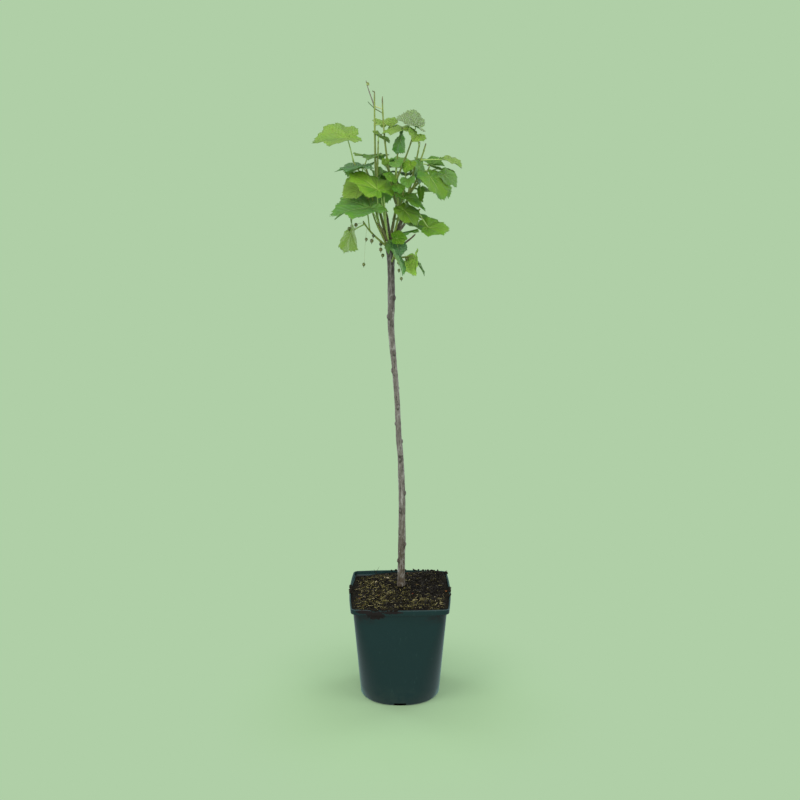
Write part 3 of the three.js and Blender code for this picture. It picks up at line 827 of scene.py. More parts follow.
@dataclass(frozen=True)
class CaneSkin:
    """Green shoots and leaf stalks, browner where they are older."""

    brown: str = "#5c5140"
    pale: str = "#a9b37a"

    def make(self) -> Material:
        """Builds the material.

        Returns:
            The material.
        """
        s = Surface("cane_skin")
        age = s.split(s.attribute("marks"))[0]
        streak = s.noise(s.here(0.12), 600, 4, 0.7)
        cloud = s.noise(s.here(), 90, 3)
        colour = s.paint(
            s.attribute("tint", "Color"),
            ((age + (cloud - 0.5) * 0.5).step(0.25, 0.85), self.brown),
            (streak.step(0.5, 0.8) * 0.5, self.pale),
            (streak.step(0.45, 0.25) * 0.4, self.brown),
        )
        relief = s.bump(streak, 0.0004, 0.6)
        rough = 0.5 + cloud * 0.2
        return s.finish(Base_Color=colour, Roughness=rough, Normal=relief, Specular_IOR_Level=0.4)


@dataclass(frozen=True)
class BerrySkin:
    """Unripe fruit, glossy, with faint seams and a dry brown end."""

    seam: str = "#8a9a4e"
    dry: str = "#3a2c1c"

    def make(self) -> Material:
        """Builds the material.

        Returns:
            The material.
        """
        s = Surface("berry_skin")
        end = s.split(s.attribute("marks"))[0]
        mottle = s.noise(s.here(), 420, 3)
        tint = s.attribute("tint", "Color")
        colour = s.paint(tint, (mottle.step(0.4, 0.7) * 0.4, self.seam), (end, self.dry))
        rough = 0.28 + end * 0.5 + mottle * 0.1
        return s.finish(Base_Color=colour, Roughness=rough, Normal=s.bump(mottle, 0.0002, 0.4))


@dataclass(frozen=True)
class Backdrop:
    """Pale green studio paper: it takes soft shadow near the object, glows evenly beyond, and is painted
    black beneath the pot, a painted shadow seen through the drain slots.
    """

    tone: str = "#b0cfa7"
    paper: str = "#8ca680"
    fibre: str = "#87a07b"
    hidden: float = 0.1
    middle: float = -0.06
    near: Pair = (0.38, 0.1)
    # radii in metres within which the paper is painted black beneath the pot: painted shadow seen through the
    # drain slots
    beneath: Pair = (0.0722, 0.0705)

    def make(self) -> Material:
        """Builds the material.

        Returns:
            The material.
        """
        s = Surface("backdrop_paper")
        here = s.here()
        x, y, _ = s.split(here)
        cloud = s.noise(here, 40, 4)
        ahead = y - self.middle
        close = (x * x + ahead * ahead).math("SQRT").step(*self.near)
        # painted shadow: 1 within the pot's foot, where base colour and emission both turn black
        under = (x * x + y * y).math("SQRT").step(*self.beneath)
        full = linear(self.tone)
        faint = tuple(part * self.hidden for part in full[:3]) + (1.0,)
        sheet = s.paint(self.paper, (cloud * 0.2, self.fibre))
        return s.finish(
            # the last coat of both colours is the painted shadow under the pot
            Base_Color=s.paint("#000000", (close, sheet), (under, "#000000")),
            Roughness=0.9,
            Specular_IOR_Level=0.0,
            Normal=s.bump(cloud, 0.0002, 0.3),
            Emission_Color=s.paint(full, (close, faint), (under, "#000000")),
            Emission_Strength=1.0,
        )


@dataclass(frozen=True)
class Section:
    """A level section of the pot: half its width, its corner radius and how far its sides bow out."""

    half: float
    corner: float
    bow: float
    corner_steps: int = 14
    side_steps: int = 12

    def blended(self, other: "Section", share: float) -> "Section":
        """Gives the section a share of the way to another."""
        pairs = zip((self.half, self.corner, self.bow), (other.half, other.corner, other.bow))
        return Section(*(mix(low, high, share) for low, high in pairs))

    def inset(self, wall: float) -> "Section":
        """Gives the section set in by a wall."""
        return Section(self.half - wall, self.corner - wall, self.bow)

    def ring(self, z: float) -> Ring:
        """Works out the section's places at a height.

        Args:
            z: The height.

        Returns:
            The places, counterclockwise seen from above.
        """
        straight = self.half - self.corner
        flat = []
        for i in range(self.corner_steps + 1):
            x, y, _ = polar(i / self.corner_steps * math.pi / 2, self.corner)
            flat.append((straight + x, straight + y))
        for i in range(1, self.side_steps):
            across = 1 - 2 * i / self.side_steps
            flat.append((straight * across, self.half + self.bow * (1 - across * across)))
        places = []
        for cos, sin in ((1, 0), (0, 1), (-1, 0), (0, -1)):
            places += [Vector((x * cos - y * sin, x * sin + y * cos, z)) for x, y in flat]
        return places


@dataclass
class Pot:
    """The nursery pot: square at the rim, nearly round at the base, with a band for a lip."""

    height: float = 195.6
    wall: float = 1.9
    floor: float = 2.2
    foot: Section = Section(71.2, 62, 0)
    foot_edge: Pair = (0.9, 0.5)
    heel: Section = Section(72.6, 62.5, 0.1)
    heel_z: float = 2.5
    shoulder: Section = Section(83.4, 13, 3.6)
    shoulder_z: float = 184.6
    lip_foot: Section = Section(87.6, 9.5, 3.9)
    lip_head: Section = Section(88.2, 9.5, 4.1)
    lip_head_z: float = 194.9
    crest: Section = Section(87.5, 9, 4.1)
    mouth: Section = Section(85.7, 7.6, 4)
    lip_low: float = 186.4
    lip_high: float = 189.4
    body_rings: int = 9
    drain: Quad = (22, 4.4, 13, 74)
    edge: float = 0.45
    crease: float = 38
    hard: float = 32

    def bore(self, z: float, clear: float = 0.0) -> Section:
        """Works out the inner face at a height.

        Args:
            z: The height.
            clear: How far within the inner face the section lies.

        Returns:
            The section there.
        """
        share = (min(z, self.lip_low) - self.heel_z) / (self.shoulder_z - self.heel_z)
        body = self.heel.blended(self.shoulder, share)
        lip = self.mouth.inset(-self.wall)
        share = min(max((z - self.lip_low) / (self.lip_high - self.lip_low), 0), 1)
        return body.blended(lip, share).inset(self.wall + clear)

    def profile(self) -> list[Ring]:
        """Works out the rings up the outside, over the rim and down the inside.

        Returns:
            The rings, from the edge of the foot to that of the floor.
        """
        narrow, rise = self.foot_edge
        rings = [self.foot.inset(narrow).ring(0), self.foot.ring(rise)]
        for i in range(self.body_rings + 1):
            share = i / self.body_rings
            section = self.heel.blended(self.shoulder, share)
            rings.append(section.ring(mix(self.heel_z, self.shoulder_z, share)))
        rings += [
            self.lip_foot.ring(self.lip_low),
            self.lip_head.ring(self.lip_head_z),
            self.crest.ring(self.height),
            self.mouth.ring(self.height),
            self.bore(self.lip_high).ring(self.lip_high),
        ]
        for i in range(self.body_rings, -1, -1):
            z = mix(self.floor, self.lip_low, i / self.body_rings)
            rings.append(self.bore(z).ring(z))
        return rings

    def cut_drains(self, piece: Piece) -> None:
        """Cuts a drain slot through the foot at the middle of each side.

        Args:
            piece: The pot's piece.
        """
        width, height, depth, reach = self.drain
        for side in range(4):
            start_clean()
            centre = polar((side + 1) * math.pi / 2, (reach - depth / 2) * MM)
            size = (width, depth, height * 2) if side % 2 == 0 else (depth, width, height * 2)
            bpy.ops.mesh.primitive_cube_add(size=1, location=centre, scale=[s * MM for s in size])
            cutter = bpy.context.object
            bpy.ops.object.transform_apply(location=True, rotation=True, scale=True)
            use_modifier(piece, "BOOLEAN", operation="DIFFERENCE", object=cutter, solver="EXACT")
            bpy.data.objects.remove(cutter)

    def build(self) -> Piece:
        """Models the pot and dresses it.

        Returns:
            The finished piece.
        """
        piece = raise_rings("nursery_pot", self.profile())
        self.cut_drains(piece)
        limit = math.radians(self.crease)
        use_modifier(
            piece, "BEVEL", width=self.edge * MM, segments=2, limit_method="ANGLE", angle_limit=limit
        )
        smooth(piece, self.hard)
        piece.data.materials.append(PotPlastic().make())
        return piece


@dataclass
class Soil:
    """Compost that fills the pot: mounded at the stem, flush in front, lower behind."""

    pot: Pot
    top: float = 201.7
    centre: float = 1.6
    edge_level: float = 191.2
    edge_slope: float = -0.03
    spread: float = 38
    heap: Triple = (66, 66, 4.6)
    dip: Triple = (-60, 66, -3.2)
    waves: tuple[float, ...] = (0.11, 1.3, 0.13, -0.4, 0.29, -0.23)
    rough: float = 1.3
    brink: float = 0.6
    back: float = 5.2
    back_from: Pair = (10, 65)
    left_from: Pair = (-36, -70)
    left_share: float = 0.2
    level_share: float = 0.95
    rim_gap: float = 1.5
    rings: int = 46
    shares: Pair = (0.985, 7 / 86)
    layer: float = 7.3
    clods: tuple[Pair, ...] = ((0.085, 1.6), (0.2, 1.5), (0.42, 0.9))
    hard: float = 60

    def edge(self) -> Section:
        """Gives the compost's outline at the rim."""
        return self.pot.bore(self.pot.lip_high, CLEAR)

    def ground(self, place: Vector, share: float) -> float:
        """Works out the plain height of the compost at a place.

        Args:
            place: The place, at any height.
            share: Its share of the way from the stem to the rim.

        Returns:
            The height, without crumbs.
        """
        x, y = place.x, place.y
        level = self.edge_level + self.edge_slope * y
        for mx, my, rise in (self.heap, self.dip):
            level += rise * math.exp(-((x - mx) ** 2 + (y - my) ** 2) / self.spread**2)
        a, b, c, d, e, f = self.waves
        uneven = math.sin(a * x + b) * math.cos(c * y + d) + 0.5 * math.sin(e * x + f * y)
        rise = 0.5 + 0.5 * math.cos(math.pi * share)
        return mix(level, self.top, rise) + self.rough * uneven * math.sin(math.pi * share)

    def crumbly(self, x: float, y: float, share: float) -> Vector:
        """Finds a place on the crumbly ground, which is level at the rim's edge.

        Args:
            x: The place's distance to the right.
            y: Its distance to the back.
            share: Its share of the way from the stem to the rim.

        Returns:
            The place.
        """
        place = Vector((x, y, self.layer))
        height = sum(size * noise.noise(place * k) for k, size in self.clods)
        heap = self.back * ramp(y, *self.back_from) * mix(1, self.left_share, ramp(x, *self.left_from))
        place.z = self.ground(place, share) + (height + heap) * ramp(share, 1, self.level_share)
        return place

    def spot(self, turn: float, share: float) -> Vector:
        """Finds a place on the ground by its direction.

        Args:
            turn: The direction from the stem, in radians.
            share: The share of the way from the stem to the rim.

        Returns:
            The place.
        """
        edge = self.edge()
        way = polar(turn, 1)
        reach = (edge.half - self.rim_gap) / max(abs(way.x), abs(way.y))
        corner = edge.half - edge.corner
        if min(abs(way.x), abs(way.y)) * reach > corner:
            reach = min(reach, math.hypot(corner, corner) + edge.corner - self.rim_gap)
        return self.crumbly(mix(self.centre, way.x * reach, share), way.y * reach * share, share)

    def share_at(self, x: float, y: float) -> float:
        """Gives about which share of the way from the stem to the rim a place lies at."""
        return max(abs(x), abs(y)) / self.edge().half

    def on_ground(self, place: Vector) -> Vector:
        """Gives the place on the ground straight above or below another."""
        return self.crumbly(place.x, place.y, min(self.share_at(place.x, place.y), 1))

    def build(self) -> Piece:
        """Models the compost and dresses it.

        Returns:
            The finished piece.
        """
        pot = self.pot
        low = pot.floor + CLEAR
        middle = mix(pot.floor, pot.lip_low, 0.5)
        rings = [pot.bore(z, 2 * CLEAR).ring(z) for z in (low, middle)]
        edge = self.edge().ring(pot.lip_high)
        levels = [self.ground(p, 1) for p in edge]
        for heights in ([min(pot.lip_low, z - self.brink) for z in levels], levels):
            rings.append([pot.bore(z, 2 * CLEAR).ring(z)[i] for i, z in enumerate(heights)])
        for i in range(self.rings):
            share = mix(*self.shares, i / (self.rings - 1))
            rings.append([self.crumbly(mix(self.centre, p.x, share), p.y * share, share) for p in edge])
        piece = raise_rings("compost", rings)
        smooth(piece, self.hard)
        piece.data.materials.append(Compost().make())
        return piece


@dataclass
class Debris:
    """Fibres, moss, chips and grains that lie on the compost."""

    soil: Soil
    fibres: int = 4200
    fibre_reach: Pair = (4, 15)
    fibre_radius: Pair = (0.25, 0.72)
    fibre_bend: float = 0.8
    lift_middle: Pair = (0.6, 2.2)
    lift_end: Pair = (-0.4, 0.9)
    gaps: Pair = (0.11, -0.02)
    chips: int = 620
    grains: int = 60
    crumbs: int = 1700
    lump_size: Pair = (0.7, 2.6)
    grain_size: Pair = (0.3, 0.75)
    spill_size: Pair = (1.2, 2.8)
    spill_out: Pair = (-3.2, 0.9)
    lump_levels: tuple[Pair, ...] = ((-1, 0.6), (-0.3, 1), (0.5, 0.85), (1, 0.4))
    lump_narrow: Pair = (0.28, 0.75)
    lump_tilt: float = 0.5
    lump_uneven: float = 0.18
    dark: Pair = (0.15, 0.87)
    dark_right: Pair = (-6, 24)
    dark_back: Pair = (-52, -12)
    peat: tuple[str, ...] = ("#0e0b07", "#1a1712", "#24221c", "#35322a", "#0b0906")
    mossy: tuple[str, ...] = ("#65602f", "#827b45", "#434021", "#9b9364", "#625a38", "#2b2817", "#15120b")
    woody: tuple[str, ...] = (
        "#545122", "#43401b", "#6c6836", "#353216", "#988c68",
        "#5f5337", "#3f3322", "#54301f", "#4c4920", "#2b2217",
    )
    mineral: str = "#b9b7aa"
    damp: str = "#1b170f"
    straw: str = "#2b2618"
    spills: tuple[tuple[int, float, float, int], ...] = (
        (0, -30, 26, 46), (1, -8, 24, 26), (1, 76, 6, 14), (2, 6, 12, 8), (2, -40, 34, 24), (3, -2, 18, 30),
    )
    finds: tuple[tuple[float, float, float, str], ...] = (
        (-24, 42, 3.2, "#bdb08c"), (-29, 47, 2.4, "#b0a27c"), (-46, 33, 2.3, "#a99c78"),
        (-75, -36, 1.6, "#6b3524"), (22, -30, 1.7, "#6b3524"), (14, 74, 1.6, "#7a4a30"),
        (86, 0, 2.2, "#8a5a30"),
    )
    straws: tuple[tuple[Triple, Triple], ...] = (
        ((-47, 80, 193), (-39, 84, 206)), ((-44, 78, 193), (-50, 83, 201)), ((82, 80, 194), (89, 84, 199)),
    )
    seed: int = 5

    def fibre(self, dice: Dice) -> tuple[list[Ring], Colour]:
        """Works out one curled fibre on the ground.

        Args:
            dice: The run of numbers.

        Returns:
            Its rings and its colour.
        """
        turn = dice.between(0, 2 * math.pi)
        place = self.soil.spot(turn, math.sqrt(dice.between(0.006, 0.86)))
        way = dice.between(0, 2 * math.pi)
        reach = dice.between(*self.fibre_reach)
        bend = dice.spread(self.fibre_bend)
        handles = []
        for k in (-1, 0, 1):
            step = polar(way + bend * (k + 1), reach * k / 2)
            lift = dice.between(*(self.lift_middle if k == 0 else self.lift_end))
            handles.append(self.soil.on_ground(place + step) + Vector((0, 0, lift)))
        radius = dice.between(*self.fibre_radius)
        tint = dice.pick(self.mossy)
        if dice.between(0, 1) < self.darkness(place):
            tint = self.mossy[-1]
        return rings_along(Path(*handles), 4, 3, Taper(radius, radius / 2)), linear(tint)

    def darkness(self, place: Vector) -> float:
        """Gives the share of black pieces at a place: most at the back right."""
        return mix(*self.dark, ramp(place.x, *self.dark_right) * ramp(place.y, *self.dark_back))

    def on_rim(self, side: int, along: float, out: float) -> Vector:
        """Finds a place on the pot's rim.

        Args:
            side: The side: 0 in front, then 1 to 3 round by the right, the back and the left.
            along: The distance along it from its middle, against the clock.
            out: How far it lies outside the crest's edge.

        Returns:
            The place.
        """
        crest = self.soil.pot.crest
        straight = crest.half - crest.corner
        reach = crest.half + crest.bow * (1 - (along / straight) ** 2) + out
        turn = math.radians(90 * (side - 1))
        return polar(turn, reach, self.soil.pot.height) + polar(turn + math.pi / 2, along)

    def anywhere(self, dice: Dice) -> Vector:
        """Picks a place on the compost."""
        return self.soil.spot(dice.between(0, 2 * math.pi), math.sqrt(dice.between(0.01, 0.9)))

    def lump(self, dice: Dice, place: Vector, size: float, flat: float) -> list[Ring]:
        """Works out one angular lump.

        Args:
            dice: The run of numbers.
            place: Where it lies.
            size: Half its length.
            flat: Its height for its length.

        Returns:
            Its rings.
        """
        way = dice.between(0, math.pi)
        tilt = dice.spread(self.lump_tilt)
        narrow = dice.between(*self.lump_narrow)
        middle = place + Vector((0, 0, size * flat / 2))
        rings = []
        for level, reach in self.lump_levels:
            ring = []
            for angle in spokes(5):
                x, y, _ = polar(angle, size * reach * (1 + dice.spread(self.lump_uneven)))
                z = size * flat * level + x * tilt
                ring.append(middle + polar(way, x, z) + polar(way + math.pi / 2, y * narrow))
            rings.append(ring)
        return rings

    def strew(self, heap: Heap) -> None:
        """Strews fibres, chips, grains and crumbs all over the compost.

        Args:
            heap: The heap that takes them.
        """
        dice = Dice(self.seed)

        def drop(place: Vector, size: float, flat: float, tint: str) -> None:
            """Adds a lump of a size, a height for its size and a colour."""
            heap.add_rings(self.lump(dice, place, size, flat), linear(tint))

        for _ in range(self.fibres):
            rings, tint = self.fibre(dice)
            if noise.noise(rings[1][0] * self.gaps[0]) > self.gaps[1]:
                heap.add_rings(rings, tint)
        for _ in range(self.chips):
            place = self.anywhere(dice)
            tint = dice.pick(self.woody)
            if dice.between(0, 1) < self.darkness(place):
                tint = self.peat[2]
            drop(place, dice.between(*self.lump_size), 0.3, tint)
        for _ in range(self.grains):
            drop(self.anywhere(dice), dice.between(*self.grain_size), 0.8, self.mineral)
        for _ in range(self.crumbs):
            tint = dice.pick(self.peat)
            drop(self.anywhere(dice), dice.between(*self.lump_size), 0.7, tint)
        for x, y, size, tint in self.finds:
            spot = self.soil.spot(math.atan2(y, x), self.soil.share_at(x, y))
            drop(spot + Vector((0, 0, 1)), size, 0.45, tint)
        for side, middle, reach, count in self.spills:
            for _ in range(count):
                place = self.on_rim(side, middle + dice.spread(reach), dice.between(*self.spill_out))
                drop(place, dice.between(*self.spill_size), 0.6, self.damp)

    def build(self) -> Piece:
        """Lays out all the litter and dresses it.

        Returns:
            The finished piece.
        """
        heap = Heap()
        self.strew(heap)
        for foot, tip in self.straws:
            middle = Vector(foot).lerp(Vector(tip), 0.5) + Vector((0.8, 0, 1.2))
            heap.add_shoot(Path(Vector(foot), middle, Vector(tip)), 5, 4, Taper(0.4, 0.15), self.straw)
        piece = heap.build("compost_fibres")
        piece.data.materials.append(Litter().make())
        return piece


@dataclass
class Trunk:
    """The bare stem: tapering, gently swaying, flared at the foot, knotted at its pruned head."""

    stations: tuple[Triple, ...] = (
        (202, 1.6, 8.2), (214, 1.9, 7.1), (245, 2.6, 6.6), (305, 3.6, 6.3), (366, 3.6, 6.0),
        (442, 1.4, 5.6), (501, -2.6, 5.0), (560, -5.3, 4.7), (618, -10.1, 4.8), (689, -15.4, 5.6),
        (740, -14.6, 6.4), (800, -15.6, 6.1), (822, -16, 8.4), (829, -16, 10.9), (836, -16, 10.9),
    )
    sides: int = 24
    levels: int = 74
    flare: Quad = (0.13, 3, 0.6, 12)
    scars: tuple[float, ...] = (254, 745, 32.3, 129, 200)
    scar_size: Triple = (3.8, 5.0, 1.9)
    scar_rim: Triple = (0.95, 0.32, 0.7)
    fissures: tuple[Triple, ...] = ((0.16, 0.03, 0.7), (0.5, 0.09, 0.42), (1.1, 0.25, 0.26))
    hold: float = 3
    bevel: float = 2.4

    def slope(self, station: int, key: int) -> float:
        """Gives the slope at a station of the lean, for key 1, or of the radius, for key 2."""
        low = self.stations[max(station - 1, 0)]
        high = self.stations[min(station + 1, len(self.stations) - 1)]
        return (high[key] - low[key]) / (high[0] - low[0])

    def at(self, z: float, key: int) -> float:
        """Runs smoothly through the named stations.

        Args:
            z: The height.
            key: 1 for the lean of the centre, 2 for the radius.

        Returns:
            The lean or the radius at that height.
        """
        i = 0
        while i < len(self.stations) - 2 and z > self.stations[i + 1][0]:
            i += 1
        low, high = self.stations[i : i + 2]
        span = high[0] - low[0]
        t = min(max((z - low[0]) / span, 0), 1)
        bend = (t**3 - 2 * t**2 + t) * self.slope(i, key) + (t**3 - t**2) * self.slope(i + 1, key)
        return mix(low[key], high[key], eased(t)) + span * bend

    def rings(self) -> list[Ring]:
        """Works out the plain rings of the stem.

        Returns:
            The rings, foot to head.
        """
        foot, top = self.stations[0][0], self.stations[-1][0]
        share, lobes, turn, fade = self.flare
        rings = []
        for i in range(self.levels + 1):
            z = mix(foot, top, i / self.levels)
            swell = share * math.exp(-(z - foot) / fade)
            centre = Vector((self.at(z, 1), 0, 0))
            ring = []
            for angle in spokes(self.sides):
                reach = self.at(z, 2) * (1 + swell * math.cos(lobes * angle + turn))
                ring.append(centre + polar(angle, reach, z))
            rings.append(ring)
        centre = Vector((self.at(top, 1), 0, top))
        rings[-1] = [centre.lerp(place, 1 - self.bevel / self.at(top, 2)) for place in rings[-1]]
        return rings

    def scar(self, place: Vector) -> Pair:
        """Looks for a leaf scar at a place.

        Args:
            place: The place on the plain skin.

        Returns:
            How far the scar rises there, and how dark its rim is.
        """
        low, high, step, turn, start = self.scars
        wide, tall, proud = self.scar_size
        middle, width, depth = self.scar_rim
        rise, dark = 0.0, 0.0
        nearest = round((place.z - low) / step)
        for k in (nearest - 1, nearest, nearest + 1):
            z = low + k * step
            if not low <= z < high:
                continue
            angle = math.atan2(place.y, place.x - self.at(place.z, 1)) - math.radians(start + k * turn)
            angle = (angle + math.pi) % (2 * math.pi) - math.pi
            far = math.hypot(angle * self.at(z, 2) / wide, (place.z - z) / tall)
            ring = math.exp(-(((far - middle) / width) ** 2))
            rise += proud * math.exp(-((far / middle) ** 4)) - depth * ring
            dark = max(dark, ring * (0.6 + 0.4 * math.cos(3 * angle)))
        return rise, dark

    def relief(self, place: Vector, normal: Vector) -> Vector:
        """Raises the bark's plates and leaf scars at a place.

        Args:
            place: The place on the plain skin.
            normal: The skin's normal there.

        Returns:
            The place on the bark.
        """
        rise = self.scar(place)[0]
        for across, along, size in self.fissures:
            rise += size * bark_noise(place, across, along)
        foot = self.stations[0][0]
        return place + Vector((normal.x, normal.y, 0)) * rise * ramp(place.z, foot, foot + self.hold)

    def build(self) -> Piece:
        """Models the stem and dresses it.

        Returns:
            The finished piece.
        """
        piece = raise_rings("trunk_bark", self.rings())
        use_modifier(piece, "SUBSURF", levels=2, render_levels=2)
        rims = [(self.scar(vertex.co / MM)[1], 0.0, 0.0) for vertex in piece.data.vertices]
        marks = piece.data.attributes.new("marks", "FLOAT_VECTOR", "POINT")
        marks.data.foreach_set("vector", np.array(rims).ravel())
        reshape(piece, self.relief)
        smooth(piece)
        piece.data.materials.append(Bark().make())
        return piece


@dataclass
class Boughs:
    """Short brown boughs that stand in a ring on the stem's head, one in its middle."""

    head: Triple = (-16, 0, 836)
    ring: float = 7.5
    foot: float = 3.0
    tip: float = 2.2
    collar: Pair = (0.35, 0.12)
    grain: Triple = (0.5, 0.12, 0.28)
    push: Triple = (0, 0, 6)
    near: Triple = (0.2, 0.2, 0.25)
    far: Triple = (0.75, 0.75, 0.62)
    rows: tuple[tuple[str, float, float, Triple], ...] = (
        ("bough_left", 1, 155, (-39, 6, 908)),
        ("bough_left_low", 1, 212, (-36, -8, 866)),
        ("bough_middle", 0, 0, (-6, 14, 896)),
        ("bough_right", 1, 352, (9, -2, 886)),
        ("bough_right_low", 1, 300, (8, -14, 868)),
        ("bough_back", 1, 100, (-22, 36, 872)),
        ("bough_back_right", 1, 46, (8, 34, 882)),
    )
    old: Bark = Bark(
        name="bark_dark", foot="#4c463b", grey="#5a554a", pale="#8a8673", fissure="#241f18",
        change=(0.82, 0.86), top="#56543a", top_change=(0.85, 0.9),
    )
    green: Bark = Bark(
        name="bark_young", foot="#57523a", grey="#6b7044", pale="#a5aa7c", fissure="#3a3522",
        change=(0.838, 0.856), top="#6d7c3e", top_change=(0.862, 0.888),
    )
    young: tuple[str, ...] = ("bough_left", "bough_left_low", "bough_middle")

    def shoot(self, foot: Vector, tip: Vector, push: Vector) -> Path:
        """Works out the way that a shoot takes: up from its foot, then out towards its tip.

        Args:
            foot: Where it starts.
            tip: Where it ends.
            push: How far its middle is pushed over.

        Returns:
            The path.
        """
        way = tip - foot
        near = foot + way * Vector(self.near) + push
        far = foot + way * Vector(self.far) + push / 2
        return Path(foot, near, far, tip)

    def paths(self) -> dict[str, Path]:
        """Works out the way of each bough.

        Returns:
            The paths by the boughs' names.
        """
        found = {}
        for name, out, side, tip in self.rows:
            foot = Vector(self.head) + polar(math.radians(side), self.ring * out, CLEAR)
            found[name] = self.shoot(foot, Vector(tip), Vector(self.push))
        return found

    def relief(self, place: Vector, normal: Vector) -> Vector:
        """Raises the bark a little at a place on the plain skin, along its normal."""
        across, along, size = self.grain
        return place + normal * size * bark_noise(place, across, along)

    def build(self) -> dict[str, Piece]:
        """Models the boughs and dresses them.

        Returns:
            The finished pieces by the name of the node that each stands for.
        """
        skin, green = self.old.make(), self.green.make()
        girth = Taper(self.foot, self.tip, *self.collar)
        pieces = {}
        for name, path in self.paths().items():
            piece = raise_rings(name + "_bark", rings_along(path, 16, 12, girth, level_foot=True))
            use_modifier(piece, "SUBSURF", levels=1, render_levels=1)
            reshape(piece, self.relief)
            smooth(piece)
            piece.data.materials.append(green if name in self.young else skin)
            pieces[name] = piece
        return pieces


@dataclass(frozen=True)
class Cane:
    """A shoot of a mass, with one leaf for each green unless it has more leaves.

    A pair runs from the first leaf to the last, and a number holds for all.
    """

    root: float
    tip: Triple
    leaves: int = 0
    first: float = 0
    turn: float = 0
    at: Run = 1
    rise: Run = 0
    stalk: Run = 0
    twist: Run = 0
    droop: Run = 0
    roll: Run = 0
    blade: Run = 0
    fold: Run = 0.16
    greens: tuple[Green, ...] = ()
    age: float = 0.15
    bare: bool = False
    tint: str = "#76893a"
    girth: float = 1.0

    def shares(self) -> list[float]:
        """Gives each leaf's share of the way from the first leaf to the last."""
        count = max(self.leaves, len(self.greens))
        return [i / max(count - 1, 1) for i in range(count)]


@dataclass(frozen=True)
class Strig:
    """A hanging string of fruit: its cane, place, direction, reach, drop and number of berries."""

    cane: int
    at: float
    azimuth: float
    reach: float
    drop: float
    berries: int


@dataclass(frozen=True)
class Mass:
    """A mass of leaves grown from one stem."""

    name: str
    on: str
    seed: int
    slot: Slot
    canes: tuple[Cane, ...]
    push: Triple = (0, 0, 8)
    strigs: tuple[Strig, ...] = ()


